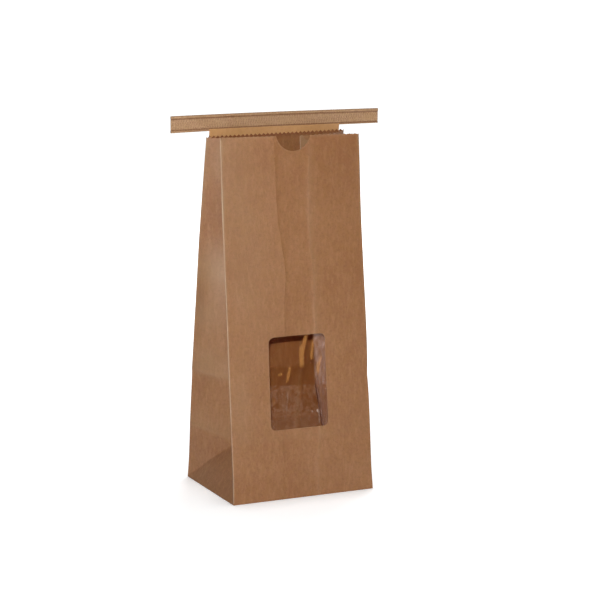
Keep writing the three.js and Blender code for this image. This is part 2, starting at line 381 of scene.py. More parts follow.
@dataclass(frozen=True)
class BagForm:
    """The folded shape of the bag's paper.

    A place on the paper is (girth, height). Girth runs once round the bag from the front left
    edge, over the front panel, the right gusset, the back panel and the left gusset. Height is
    the height that the same level of the paper has on the front panel.
    """

    panel: float
    depth: float
    mouth: float = 196.3 * MM
    front_set_back: float = 24.0 * MM
    front_hollow: float = 0.5 * MM
    hollow_from: float = 0.45
    back_set_forward: float = 21.2 * MM
    back_belly: float = 2.8 * MM
    waist_draw_in: float = 0.4 * MM
    waist_height: float = 12.0 * MM
    lean: float = 0.1 * MM
    mouth_lean: float = 0.1 * MM
    mouth_draw_in: float = 0.1 * MM
    front_crease: float = 32.0 * MM
    back_crease: float = 28.5 * MM
    gusset_crease: float = 24.2 * MM
    gusset_drop: float = 1.2 * MM
    gusset_spring: float = 3.5 * MM
    right_fold_in: float = 2.0 * MM
    lift: float = 0.14 * MM
    fold_radius: float = 0.4 * MM
    mouth_fold_radius: float = 0.95 * MM
    base_radius: float = 0.15 * MM
    teeth_on_panel: int = 34
    teeth_on_gusset: int = 25
    front_tooth: float = 0.45 * MM
    gusset_tooth: float = 0.7 * MM
    back_tooth: float = 1.2 * MM
    tooth_room: float = 2.0 * MM
    skew_at_edges: tuple[float, ...] = (0.7 * MM, 0.05 * MM, 0.45 * MM, -0.8 * MM, 0.7 * MM)
    print_spread: float = 10.0 * MM
    edge_hold: float = 8.0 * MM
    normal_step: float = 0.25 * MM
    opens_from: float = 40.0 * MM
    opens_over: float = 140.0 * MM
    line_fade: float = 12.0 * MM
    swell: float = 0.12 * MM
    swell_from: float = 14.0 * MM
    floor_hold: float = 0.8 * MM

    @property
    def gusset_half(self) -> float:
        """Width of each half of a gusset."""
        return self.depth / 2

    @property
    def turns(self) -> tuple[float, float, float, float, float]:
        """Girth at the four edges of the bag, and once round."""
        panel, depth = self.panel, self.depth
        return (0.0, panel, panel + depth, 2 * panel + depth, 2 * (panel + depth))

    def girth_at(self, side: Side, across: Array | float) -> Array | float:
        """Turn a place across one side into girth.

        Args:
            side: The side of the bag.
            across: X on the front and back, the distance from the front edge on a gusset.

        Returns:
            The girth there.
        """
        half = self.panel / 2
        if side is FRONT:
            return half + across
        if side is RIGHT:
            return self.turns[1] + across
        if side is BACK:
            return self.turns[2] + half - across
        return self.turns[4] - across

    def front_y(self, z: Array) -> Array:
        """Straight from the front of the base to the set-back mouth, a little hollow above.

        Args:
            z: Height of each point.

        Returns:
            Y of the front panel there. The hollow is the square of half a sine.
        """
        above = np.clip((z / self.mouth - self.hollow_from) / (1 - self.hollow_from), 0, 1)
        hollow = np.sin(np.pi * above) ** 2
        return -self.depth / 2 + self.front_set_back * z / self.mouth + self.front_hollow * hollow

    def back_y(self, z: Array) -> Array:
        """From the back of the base to the forward mouth, with a belly of one half sine.

        Args:
            z: Height of each point.

        Returns:
            Y of the back panel there.
        """
        share = z / self.mouth
        belly = self.back_belly * np.sin(np.pi * share)
        return self.depth / 2 - self.back_set_forward * share + belly

    def edge_x(self, z: Array) -> Array:
        """Half the panels' width, drawn in above the base and again, by a fifth power, above."""
        waist = self.waist_draw_in * np.clip(z / self.waist_height, 0, 1)
        return self.panel / 2 - waist - self.mouth_draw_in * np.clip(z / self.mouth, 0, 2) ** 5

    def valley(self, half_depth: Array) -> Array:
        """Depth of a gusset's valley, from Pythagoras with each half as the long side."""
        return np.sqrt(np.maximum(self.gusset_half**2 - half_depth**2, 0.0))

    def raw_place(self, girth: Array, height: Array) -> Array:
        """Place on the paper with every fold sharp.

        Below the crease a level passes the edge, the two diagonals and the other edge; above it
        the diagonals have met in the bottom of the valley. Between those nodes it is straight.
        Heights below 0 lie turned in under the base.

        Args:
            girth: Girth of each point.
            height: Height of each point.

        Returns:
            Points as an array (..., 3).
        """
        tuck = np.maximum(-height, 0.0)
        height = np.maximum(height, 0.0)
        lower = np.clip(height / self.front_crease, 0, 1)
        upper = np.maximum(height - self.front_crease, 0) / (self.mouth - self.front_crease)
        fold_top = self.mouth - self.gusset_drop
        back_z = between(self.back_crease * lower, self.mouth, upper)
        fold_z = between(self.gusset_crease * lower, fold_top, upper)
        front_y, back_y = self.front_y(height), self.back_y(back_z)
        half, middle = (back_y - front_y) / 2, (back_y + front_y) / 2
        shade_line_half = (
            self.back_y(np.array(self.back_crease)) - self.front_y(np.array(self.front_crease))
        ) / 2
        valley = np.where(lower < 1, self.valley(shade_line_half) * lower, self.valley(half))
        spread = self.gusset_half * (1 - lower)

        turns = self.turns
        girth = np.mod(girth, turns[4])
        on_left = girth > turns[3]
        fold_in = np.where(on_left, 0.0, self.right_fold_in * upper**2)
        fold_x = self.edge_x(fold_z) - valley - fold_in
        on_gusset = on_left | ((girth > turns[1]) & (girth < turns[2]))
        across = np.where(on_left, turns[4] - girth, girth - turns[1])
        first = self.gusset_half * lower
        last = self.depth - first
        to_fold = np.clip(across / np.maximum(first, TINY), 0, 1)
        along = np.clip((across - first) / np.maximum(last - first, TINY), 0, 1)
        to_back = np.clip((across - last) / np.maximum(self.depth - last, TINY), 0, 1)
        front_x, back_x = self.edge_x(height), self.edge_x(back_z)
        gusset_x = between(between(front_x, fold_x, to_fold), back_x, to_back)
        gusset_y = between(
            between(between(front_y, middle - spread, to_fold), middle + spread, along),
            back_y,
            to_back,
        )
        gusset_z = between(between(height, fold_z, to_fold), back_z, to_back)

        front_share = np.clip(girth / self.panel, 0, 1)
        back_share = np.clip((girth - turns[2]) / self.panel, 0, 1)
        on_front = girth <= turns[1]
        panel_x = np.where(
            on_front,
            between(-front_x, front_x, front_share),
            between(back_x, -back_x, back_share),
        )
        x = np.where(on_gusset, np.where(on_left, -gusset_x, gusset_x), panel_x)
        y = np.where(on_gusset, gusset_y, np.where(on_front, front_y, back_y))
        z = np.where(on_gusset, gusset_z, np.where(on_front, height, back_z))
        x = x * (1 - tuck / (self.panel / 2))
        y = y * (1 - tuck / (self.depth / 2))
        share = np.maximum(z / self.mouth, 0)
        x = x + self.lean * np.minimum(z / self.waist_height, 1) + self.mouth_lean * share**2
        z = z + self.lift * (1 - share)
        return np.stack([x, y, z], -1)

    def place(self, girth: Array, height: Array) -> Array:
        """Place on the paper with rounded folds: the mean of raw_place over a small square.

        The mean is of five by five places, and the square is wider at the four edges towards
        the mouth, where they have sprung open.

        Args:
            girth: Girth of each point.
            height: Height of each point.

        Returns:
            Points as an array (..., 3).
        """
        shares = (-1.0, -0.5, 0.0, 0.5, 1.0)
        opened = smooth_step((height - self.opens_from) / self.opens_over)
        opened = opened * (1 - smooth_step(self.from_edge(girth) / self.edge_hold))
        radius = between(self.fold_radius, self.mouth_fold_radius, opened)
        total = sum(
            self.raw_place(girth + along * radius, height + up * self.base_radius)
            for along in shares
            for up in shares
        )
        return total / len(shares) ** 2

    def normal(self, girth: Array, height: Array) -> Array:
        """Outward normal, from the cross product of the two central differences of place.

        Args:
            girth: Girth of each point.
            height: Height of each point.

        Returns:
            Unit vectors (..., 3).
        """
        step = self.normal_step
        along = self.place(girth + step, height) - self.place(girth - step, height)
        up = self.place(girth, height + step) - self.place(girth, height - step)
        cross = np.cross(along, up)
        return cross / np.maximum(np.linalg.norm(cross, axis=-1, keepdims=True), 1e-12)

    def wander(self, girth: Array, height: Array) -> Array:
        """Girth moved so that the grid's pressed lines wander as they do on a real bag.

        Each of FRONT_PRINTS shifts by a curve of height, which fades out to its sides.

        Args:
            girth: Girth of each point.
            height: Height of each point.

        Returns:
            The moved girth.
        """
        shifted = girth
        for x, heights, shifts in FRONT_PRINTS:
            away = np.abs(girth - self.girth_at(FRONT, x * MM)) / self.print_spread
            shift = np.interp(height / MM, heights, shifts)
            shifted = shifted + shift * MM * (1 - smooth_step(away))
        return shifted

    def skew(self, girth: Array) -> Array:
        """How much higher than its mean height the pinked edge was cut, round the girth."""
        return np.interp(girth, self.turns, self.skew_at_edges)

    def tooth(self, girth: Array) -> Array:
        """Zigzag of the pinked edge: straight flanks, so many teeth to each side.

        Args:
            girth: Girth of each point.

        Returns:
            Height of the edge over its mean.
        """
        turns = self.turns
        pitch = self.panel / self.teeth_on_panel
        gusset_pitch = self.depth / self.teeth_on_gusset
        on_front = girth <= turns[1]
        on_back = (girth > turns[2]) & (girth <= turns[3])
        start = np.select(
            [on_front, on_back, girth <= turns[2]], [turns[0], turns[2], turns[1]], turns[3]
        )
        phase = (girth - start) / np.where(on_front | on_back, pitch, gusset_pitch)
        side_tooth = np.where(on_back, self.back_tooth, self.gusset_tooth)
        size = np.where(on_front, self.front_tooth, side_tooth)
        return size * (np.abs(phase % 1.0 - 0.5) * 2 - 0.5)

    def trimmed(self, girth: Array, height: Array) -> Array:
        """Cut the mouth: the skew grows upwards by a fourth power, the teeth in the last rows.

        Args:
            girth: Girth of each point.
            height: Height of each point.

        Returns:
            Height after the cut.
        """
        share = np.clip(height / self.mouth, 0, 1)
        last_rows = np.clip((height - self.mouth) / self.tooth_room + 1, 0, 1)
        return height + self.skew(girth) * share**4 + self.tooth(girth) * last_rows

    def creased(self, creases: tuple[Crease, ...], girth: Array, height: Array) -> Array:
        """Sum of the profiles of some creases.

        Args:
            creases: The creases.
            girth: Girth of each point.
            height: Height of each point.

        Returns:
            The sum in the unit of their rise.
        """
        out = np.zeros_like(girth)
        for crease in creases:
            (x0, z0), (x1, z1) = crease.start, crease.end
            start = np.array([self.girth_at(crease.side, x0 * MM), z0 * MM])
            end = np.array([self.girth_at(crease.side, x1 * MM), z1 * MM])
            line = end - start
            length = float(np.linalg.norm(line))
            along = ((girth - start[0]) * line[0] + (height - start[1]) * line[1]) / length
            beside = ((height - start[1]) * line[0] - (girth - start[0]) * line[1]) / length
            upright = abs(line[1]) > abs(line[0])
            if (line[1] > 0) if upright else (line[0] < 0):
                beside = -beside
            reach = np.where(beside < 0, crease.reach[0], crease.reach[1]) * MM
            fade = min(0.3 * length, self.line_fade)
            ends = smooth_step(along / fade) * smooth_step((length - along) / fade)
            out += crease.rise * np.exp(-np.abs(beside) / reach) * ends
        return out

    def bulged(self, bulge: Bulge, girth: Array, height: Array) -> Array:
        """One bulge's profile.

        Args:
            bulge: The bulge.
            girth: Girth of each point.
            height: Height of each point.

        Returns:
            Its height over each point, in the unit of its rise.
        """
        centre = self.girth_at(bulge.side, bulge.centre[0] * MM)
        u = (girth - centre) / (bulge.radius[0] * MM)
        v = (height - bulge.centre[1] * MM) / (bulge.radius[1] * MM)
        return bulge.rise * np.exp(-(u**2) - v**2)

    def relief(self, girth: Array, height: Array) -> Array:
        """Distance that the paper stands out: creases, bulges, spring and an uneven swell.

        The swell is a sum of three products of sines of the girth and the height.

        Args:
            girth: Girth of each point.
            height: Height of each point.

        Returns:
            Distance outwards along the normal.
        """
        out = self.creased(CREASES, girth, height) * MM
        held = smooth_step(self.from_edge(girth) / self.edge_hold)
        for bulge in BULGES:
            out += self.bulged(bulge, girth, height) * MM * held
        angle = 2 * np.pi * girth / self.turns[4]
        level = np.pi * height / self.mouth
        swell = sum(
            size * np.sin(around * angle + turned) * np.sin(up * level + raised)
            for size, around, turned, up, raised in SWELLS
        )
        swell *= self.swell * smooth_step(height / self.swell_from)
        return (out + self.spring(girth, height)) * smooth_step(height / self.floor_hold) + swell

    def sheet(self, girth: Array, height: Array) -> tuple[Array, Array]:
        """Outer face of the paper with its relief.

        Args:
            girth: Girth of each point, before the pressed lines wander.
            height: Height of each point.

        Returns:
            The points (..., 3) and the outward normals there.
        """
        moved = self.wander(girth, height)
        normal = self.normal(moved, height)
        relief = self.relief(girth, height)
        return self.place(moved, height) + normal * relief[..., None], normal

    def spring(self, girth: Array, height: Array) -> Array:
        """How far each half of a gusset bows outwards between its folds.

        Half a sine across each half, growing by a power of 0.8 from the crease to the mouth.

        Args:
            girth: Girth of each point.
            height: Height of each point.

        Returns:
            Distance outwards.
        """
        turns = self.turns
        across = np.where(girth > turns[3], turns[4] - girth, girth - turns[1])
        inside = (across > 0) & (across < self.depth)
        up = np.clip((height - self.front_crease) / (self.mouth - self.front_crease), 0, 1)
        bow = np.abs(np.sin(2 * np.pi * across / self.depth)) * inside
        return self.gusset_spring * bow * up**0.8

    def from_edge(self, girth: Array) -> Array:
        """Distance round the girth to the nearest vertical edge of the bag."""
        return np.abs(girth[..., None] - np.array(self.turns)).min(-1)


# --- Flat pattern of the bag ----------------------------------------------------------------


@dataclass
class FlatPattern:
    """The paper as places (girth, height) and the faces that join them."""

    girth: Array
    height: Array
    quads: Array
    triangles: Array

    def places(self, index: Array) -> Array:
        """Girth and height, side by side, of the places with these indices."""
        return np.stack([self.girth[index], self.height[index]], -1)

    def add_block(self, outer: Array, rim: Array, closed: bool, shares: Array) -> None:
        """Fill the room between a loop of existing places and a cut edge.

        Each ring goes from the loop to the cut edge in proportion to its share.

        Args:
            outer: Indices of the existing places, counter-clockwise round the cut.
            rim: The matching places (m, 2) on the cut edge.
            closed: Whether the loop closes.
            shares: Share of the way for each new ring; the last one is 1.
        """
        rings = between(self.places(outer)[None], rim[None], shares[:, None, None])
        first = len(self.girth)
        new = first + np.arange(rings.shape[0] * rings.shape[1]).reshape(rings.shape[:2])
        index = np.concatenate([outer[None], new])
        ahead = np.roll(index, -1, 1) if closed else index[:, 1:]
        here = index if closed else index[:, :-1]
        quads = np.stack([here[:-1], ahead[:-1], ahead[1:], here[1:]], -1).reshape(-1, 4)
        self.girth = np.concatenate([self.girth, rings[..., 0].ravel()])
        self.height = np.concatenate([self.height, rings[..., 1].ravel()])
        self.quads = np.concatenate([self.quads, quads])


@dataclass(frozen=True)
class Block:
    """A block of the grid whose faces give way to a cut, by its outer columns and rows."""

    left: int
    right: int
    low: int
    high: int

    def holds(self, column: Array, row: Array) -> Array:
        """Whether each face, by the column and row of its first corner, lies in the block."""
        in_columns = (column >= self.left) & (column < self.right)
        return in_columns & (row >= self.low) & (row < self.high)


@dataclass(frozen=True)
class Opening:
    """The rounded window, as X and height on the front panel."""

    centre: float = -1.25 * MM
    width: float = 34.9 * MM
    sill: float = 37.95 * MM
    head: float = 88.6 * MM
    corner: float = 3.0 * MM


@dataclass(frozen=True)
class Notch:
    """The thumb notch: an arc that meets the mouth `width` apart and dips by `dip`."""

    centre: float = 0.9 * MM
    width: float = 21.2 * MM
    dip: float = 8.2 * MM

    @property
    def radius(self) -> float:
        """Radius of the arc, from its chord and its rise."""
        return (self.width**2 / 4 + self.dip**2) / (2 * self.dip)


@dataclass
class PaperBag:
    """The bag itself: one sheet of kraft round four sides, pinked, with window and notch."""

    form: BagForm
    window: Opening
    notch: Notch
    thickness: float = 0.22 * MM
    thinnest: float = 0.04 * MM
    share_of_room: float = 0.8
    cut_edge: float = 0.3
    top_darkening: float = 1.0
    top_dark_height: float = 2.6 * MM
    top_dark_fade: float = 2.0 * MM
    fold_pale_low: float = 0.4 * MM
    fold_pale_at_mouth: float = 1.8 * MM
    fold_pale_from: float = 2.0 * MM
    patch_lengths: Pair = (11.0 * MM, 26.0 * MM)
    lower_rows: int = 25
    upper_rows: int = 100
    tucked_rows: tuple[float, ...] = (-6.0 * MM, -3.0 * MM, -1.2 * MM, -0.5 * MM)
    beside_folds: tuple[float, ...] = (-0.8 * MM, -0.4 * MM, 0.4 * MM, 0.8 * MM)
    over_prints: tuple[float, ...] = (-0.9 * MM, -0.45 * MM, 0.0, 0.45 * MM, 0.9 * MM)
    closest: float = 0.12 * MM
    window_margin: float = 4.0 * MM
    notch_margin: Pair = (2.0 * MM, 3.0 * MM)
    window_rings: tuple[float, ...] = (0.3, 0.55, 0.76, 0.91, 1.0)
    notch_rings: tuple[float, ...] = (0.35, 0.65, 0.88, 1.0)

    def columns(self) -> Array:
        """Girths of the grid: two to each tooth, closer at the folds and pressed lines.

        Returns:
            The girths, rising once round the bag.
        """
        form = self.form
        turns = form.turns
        panel = np.linspace(0, form.panel, 2 * form.teeth_on_panel + 1)[:-1]
        gusset = np.linspace(0, form.depth, 2 * form.teeth_on_gusset + 1)[:-1]
        even = np.concatenate([panel, turns[1] + gusset, turns[2] + panel, turns[3] + gusset])
        valleys = (turns[1] + form.gusset_half, turns[3] + form.gusset_half)
        folds = np.array([*turns[1:], *valleys])
        printed = [(FRONT, x) for x, *_ in FRONT_PRINTS] + [(BACK, x) for x in BACK_PRINTS]
        prints = np.array([form.girth_at(side, x * MM) for side, x in printed])
        extra = np.concatenate([
            (folds[:, None] + np.array(self.beside_folds)).ravel() % turns[4],
            (prints[:, None] + np.array(self.over_prints)).ravel(),
        ])
        every = np.sort(np.concatenate([even, extra]))
        return every[np.append(True, np.diff(every) > self.closest)]

    def rows(self) -> Array:
        """Heights of the grid: under the base, up to the crease, and from there to the mouth.

        Returns:
            The heights, rising.
        """
        form = self.form
        lower = np.linspace(0, form.front_crease, self.lower_rows + 1)
        upper = np.linspace(form.front_crease, form.mouth, self.upper_rows + 1)[1:]
        return np.concatenate([self.tucked_rows, lower, upper])

    def pattern(self) -> FlatPattern:
        """Lay the grid out flat and cut the window and the thumb notch out of it.

        Returns:
            The flat pattern. Round the window and the notch the grid gives way to rings that
            follow the cut. Faces of the gussets are split along the diagonals of the base.
        """
        window, notch = self.window, self.notch
        columns, rows = self.columns(), self.rows()
        height, girth = lattice(rows, columns)
        index = np.arange(girth.size).reshape(girth.shape)
        quads = grid_quads(len(rows), len(columns), closed=True)
        row, column = np.divmod(quads[:, 0], len(columns))

        margin = self.window_margin
        ends = (window.sill - margin, window.head + margin)
        window_block = self.block(window.centre, window.width / 2 + margin, ends)
        beside, below = self.notch_margin
        ends = (self.form.mouth - notch.dip - below, self.form.mouth)
        notch_block = self.block(notch.centre, notch.width / 2 + beside, ends)

        split, rising = self.diagonals(columns[column], rows[row])
        cut = window_block.holds(column, row) | notch_block.holds(column, row)
        up, down = quads[split & rising], quads[split & ~rising]
        triangles = np.concatenate([
            up[:, [0, 1, 2]], up[:, [0, 2, 3]], down[:, [0, 1, 3]], down[:, [1, 2, 3]],
        ])
        flat = FlatPattern(girth.ravel(), height.ravel(), quads[~(cut | split)], triangles)
        self.cut_window(flat, index, window_block)
        self.cut_notch(flat, index, notch_block)
        return flat

    def block(self, centre: float, reach: float, ends: Pair) -> Block:
        """Block of the grid that just holds a rectangle on the front panel.

        Args:
            centre: X of its middle.
            reach: Half its width.
            ends: Heights of its lower and upper ends.

        Returns:
            The block.
        """
        middle = self.form.girth_at(FRONT, centre)
        left, right = np.searchsorted(self.columns(), (middle - reach, middle + reach))
        low, high = np.searchsorted(self.rows(), ends)
        return Block(int(left) - 1, int(right), int(low) - 1, int(high))

    def diagonals(self, girth: Array, height: Array) -> tuple[Array, Array]:
        """Find the faces low on the gussets, where the folds run diagonally.

        Args:
            girth: Girth of each face's first corner.
            height: Height of that corner.

        Returns:
            Whether each face is one of them, and whether its diagonal rises round the girth.
        """
        form = self.form
        half = form.gusset_half
        across, across_left = girth - form.turns[1], form.turns[4] - girth
        on_right = (across > -TINY) & (across < form.depth - TINY)
        on_gusset = on_right | (girth > form.turns[3] - TINY)
        rising = np.where(on_right, across < half - TINY, across_left > half + TINY)
        return on_gusset & (height >= 0) & (height < form.front_crease), rising

    def cut_window(self, flat: FlatPattern, index: Array, block: Block) -> None:
        """Fill the room round the window up to its rounded rectangle.

        Each place on the rim lies one corner radius from a smaller rectangle, straight towards
        the matching place on the block's border.

        Args:
            flat: The pattern, which the rings are added to.
            index: Index of each place of the grid (rows, columns).
            block: The block that the faces were left out of.
        """
        window = self.window
        left, right, low, high = block.left, block.right, block.low, block.high
        border = np.concatenate([
            index[low, left:right], index[low:high, right],
            index[high, right:left:-1], index[high:low:-1, left],
        ])
        middle = self.form.girth_at(FRONT, window.centre)
        half, radius = window.width / 2, window.corner
        loop = flat.places(border)
        core = np.clip(
            loop,
            (middle - half + radius, window.sill + radius),
            (middle + half - radius, window.head - radius),
        )
        away = loop - core
        rim = core + radius * away / np.linalg.norm(away, axis=1, keepdims=True)
        flat.add_block(border, rim, True, np.array(self.window_rings))

    def cut_notch(self, flat: FlatPattern, index: Array, block: Block) -> None:
        """Fill the room round the thumb notch up to its arc.

        The places on the arc are spread in proportion to the steps along the block's border.

        Args:
            flat: The pattern, which the rings are added to.
            index: Index of each place of the grid (rows, columns).
            block: The block that the faces were left out of.
        """
        notch = self.notch
        left, right, low, high = block.left, block.right, block.low, block.high
        border = np.concatenate([
            index[high:low:-1, left], index[low, left:right], index[low : high + 1, right],
        ])
        steps = np.linalg.norm(np.diff(flat.places(border), axis=0), axis=1)
        share = np.concatenate([[0], np.cumsum(steps)]) / steps.sum()
        reach = math.acos(1 - notch.dip / notch.radius)
        angle = between(-reach, reach, share)
        middle = self.form.girth_at(FRONT, notch.centre)
        centre_height = self.form.mouth - notch.dip + notch.radius
        rim = np.stack([
            middle + notch.radius * np.sin(angle),
            centre_height - notch.radius * np.cos(angle),
        ], -1)
        flat.add_block(border, rim, False, np.array(self.notch_rings))

    def wall_thickness(self, girth: Array, height: Array) -> Array:
        """Paper thickness, thinned where the two sides of a sharp fold leave less room.

        Args:
            girth: Girth of each point.
            height: Height of each point.

        Returns:
            The thickness: a share of the room at that distance from the edge, within limits.
        """
        form = self.form
        half = (form.back_y(height) - form.front_y(height)) / 2
        room_slope = np.tan(np.arcsin(np.clip(half / form.gusset_half, 0.05, 1)) / 2)
        room = self.share_of_room * form.from_edge(girth) * room_slope
        return np.clip(room, self.thinnest, self.thickness)

    def build(self) -> Piece:
        """Fold the flat pattern up and give it a wall.

        Returns:
            The bag as one closed object.
        """
        flat = self.pattern()
        quads, triangles = drop_unused(flat)
        height = self.form.trimmed(flat.girth, flat.height)
        outer, normal = self.form.sheet(flat.girth, height)
        inner = outer - normal * self.wall_thickness(flat.girth, height)[:, None]
        surface = closed_wall(outer, inner, quads, triangles)
        surface.wear_and_painted_light = np.tile(self.wear_and_painted_light(flat.girth, flat.height), 2)
        cut = np.unique(open_edges(quads, triangles))
        cut = cut[(flat.height[cut] > 0) & (flat.girth[cut] < self.form.turns[1])]
        surface.wear_and_painted_light[np.concatenate([cut, cut + len(outer)])] = self.cut_edge
        return surface.to_object("paper_bag")

    def wear_and_painted_light(self, girth: Array, height: Array) -> Array:
        """How much paler the paper's colour is made, above 0, or darker, below 0.

        The vertical folds are paler over about a millimetre, more towards the mouth and patchy
        along their length: partly rubbed paper and partly a painted highlight on their rounded
        edges. The patches and lines listed above add painted sheen and painted shade, and wear
        along the seam. The top of the back panel, where the tie's strip is glued on, is darker,
        most of all at the left.

        Args:
            girth: Girth of each point.
            height: Height of each point.

        Returns:
            Paler above 0 and darker below 0, from about -1.3 to 1.
        """
        form = self.form
        towards_mouth = smooth_step(height / form.mouth - 0.2)
        width = between(self.fold_pale_low, self.fold_pale_at_mouth, towards_mouth)
        short, long = self.patch_lengths
        patchy = 0.74 + 0.26 * np.sin(height / short + 2 * np.sin(height / long))
        folds = np.exp(-((form.from_edge(girth) / width) ** 2))
        worn_and_sheen = folds * smooth_step(height / self.fold_pale_from) * patchy
        worn_and_sheen = worn_and_sheen + sum(form.bulged(patch, girth, height) for patch in PAINTED_LIGHT_PATCHES)
        worn_and_sheen = np.clip(worn_and_sheen + form.creased(WORN_AND_PAINTED_LIGHT_LINES, girth, height), -0.3, 1)
        # The top band of the back panel, behind the strip, is darkened, most of all at the left.
        on_back = (girth > form.turns[2]) & (girth < form.turns[3])
        glued = smooth_step((height - form.mouth + self.top_dark_height) / self.top_dark_fade) * on_back
        glued = glued * between(0.5, 1.0, (girth - form.turns[2]) / form.panel)
        return worn_and_sheen - self.top_darkening * glued


def drop_unused(flat: FlatPattern) -> tuple[Array, Array]:
    """Leave out the places that no face uses any more.

    Args:
        flat: The pattern, whose places are thinned in place.

    Returns:
        The quads and triangles with their new indices.
    """
    used = np.zeros(len(flat.girth), bool)
    used[flat.quads.ravel()] = True
    used[flat.triangles.ravel()] = True
    new_index = np.cumsum(used) - 1
    flat.girth, flat.height = flat.girth[used], flat.height[used]
    return new_index[flat.quads], new_index[flat.triangles]


# --- Base -----------------------------------------------------------------------------------


@dataclass
class FoldedBase:
    """The floor of the bag and the two glued flaps under it."""

    form: BagForm
    inset: float = 0.12 * MM
    overlap: float = 7.0 * MM
    sheet: float = 0.1 * MM
    floor_top: float = 0.4 * MM
    floor_underside: float = 0.05 * MM
    swell: float = 0.12 * MM
    dip: float = 0.1 * MM
    dip_width: float = 1.5 * MM
    between_flaps: float = 0.01 * MM
    floor_grid: Counts = (41, 53)
    flap_grid: Counts = (30, 40)

    def floor(self) -> Piece:
        """Inner sheet: a rectangle that dips a little along the diagonals of the folds.

        Its top swells by a product of two cosines, less dip * exp(-d / dip_width), d being how
        much farther a point is from one of its nearest two sides than from the other.

        Returns:
            The floor as one closed object.
        """
        rows, columns = self.floor_grid
        v, u = lattice(np.linspace(-1, 1, rows), np.linspace(-1, 1, columns))
        half_x, half_y = self.form.panel / 2 - self.inset, self.form.depth / 2 - self.inset
        x, y = u * half_x, v * half_y
        from_end = half_x - np.abs(x)
        from_side = half_y - np.abs(y)
        diagonal = np.exp(-np.abs(from_end - from_side) / self.dip_width)
        swell = self.swell * np.cos(2.2 * u) * np.cos(1.7 * v)
        z = self.form.lift + self.floor_top + swell - self.dip * diagonal
        top = np.stack([x, y, z], -1)
        bottom = np.stack([x, y, np.full_like(z, self.form.lift + self.floor_underside)], -1)
        return slab(top, bottom).to_object("base_floor")

    def flap(self, name: str, front: bool, bottom: float) -> Piece:
        """One glued flap: a trapezoid that narrows at 45 degrees from a long edge of the base.

        Args:
            name: The object's name.
            front: Whether it starts at the front edge or at the back edge.
            bottom: Height of its lower face.

        Returns:
            The flap as one closed object.
        """
        rows, columns = self.flap_grid
        v, u = lattice(np.linspace(0, 1, rows), np.linspace(-1, 1, columns))
        length = self.form.gusset_half - self.inset + self.overlap
        run = length * v
        half = self.form.panel / 2 - self.inset - run
        edge = self.form.depth / 2 - self.inset
        side = 1.0 if front else -1.0
        x = u * half * side
        y = side * (run - edge)
        lower = np.stack([x, y, np.full_like(x, bottom)], -1)
        upper = lower + np.array([0.0, 0.0, self.sheet])
        return slab(upper, lower).to_object(name)

    def build(self) -> list[Piece]:
        """Build the floor and both flaps, the front one outermost."""
        return [
            self.floor(),
            self.flap("base_flap_front", True, 0.0),
            self.flap("base_flap_back", False, self.sheet + self.between_flaps),
        ]


# --- Film -----------------------------------------------------------------------------------


@dataclass(frozen=True)
class FilmFold:
    """A fold in the film from one place to another, as (x, height) in millimetres.

    Its profile is rise * exp(-(d / width)^4), d being the distance from the line, and it fades
    out at its ends. Glint paints a glint along it: above 0 a warm painted light, below 0 a white
    painted highlight.
    """

    start: Pair
    end: Pair
    width: float
    rise: float = 0.0
    glint: float = 0.0

    def share(self, x: Array, z: Array) -> Array:
        """Height of the profile at each place.

        Args:
            x: X of each point.
            z: Height of each point.

        Returns:
            From 0 to 1, as a share of the rise.
        """
        run = np.array([self.end[0] - self.start[0], self.end[1] - self.start[1]])
        length = float(np.hypot(*run))
        right, up = x / MM - self.start[0], z / MM - self.start[1]
        along = (right * run[0] + up * run[1]) / length
        beside = (right * run[1] - up * run[0]) / length
        fade = 0.25 * length
        ends = smooth_step(along / fade) * smooth_step((length - along) / fade)
        return np.exp(-((beside / self.width) ** 4)) * ends


FILM_FOLDS = (
    FilmFold((5.4, 90), (1.2, 76), 1.1, 0.25, 1.0),
    FilmFold((1.9, 84), (1.7, 69.5), 1.4, 0.25, 0.9),
    FilmFold((8.7, 86.5), (7.2, 73.5), 0.8, 0.2, 0.85),
    FilmFold((10.6, 66), (11.6, 74), 1.1, 0.2, 1.0),
    FilmFold((11.2, 71), (14.2, 77), 0.7, 0.15, 0.7),
    FilmFold((-5.8, 73), (-8.6, 62.5), 1.1, 0.2, 0.75),
    FilmFold((-14.4, 67.6), (-11.4, 68.8), 0.9, 0.1, 0.6),
    FilmFold((-16.9, 56), (-16.2, 51), 0.9, 0.1, 0.3),
    FilmFold((10.8, 56), (10.2, 46), 0.3, 0.1, -0.15),
    FilmFold((10.4, 48), (10.0, 38), 0.26, 0.2, -0.38),
    FilmFold((9.3, 47.6), (9.5, 45.6), 0.42, 0.0, -0.8),
    FilmFold((6.3, 47.1), (6.5, 45.7), 0.38, 0.0, -0.6),
    FilmFold((9.7, 62), (12.6, 38.5), 0.5, 0.25, 0.0),
    FilmFold((-12.0, 62), (-10.0, 42), 0.6, 0.15, -0.12),
    FilmFold((-7.6, 60), (-8.8, 44), 0.4, 0.15, -0.2),
)


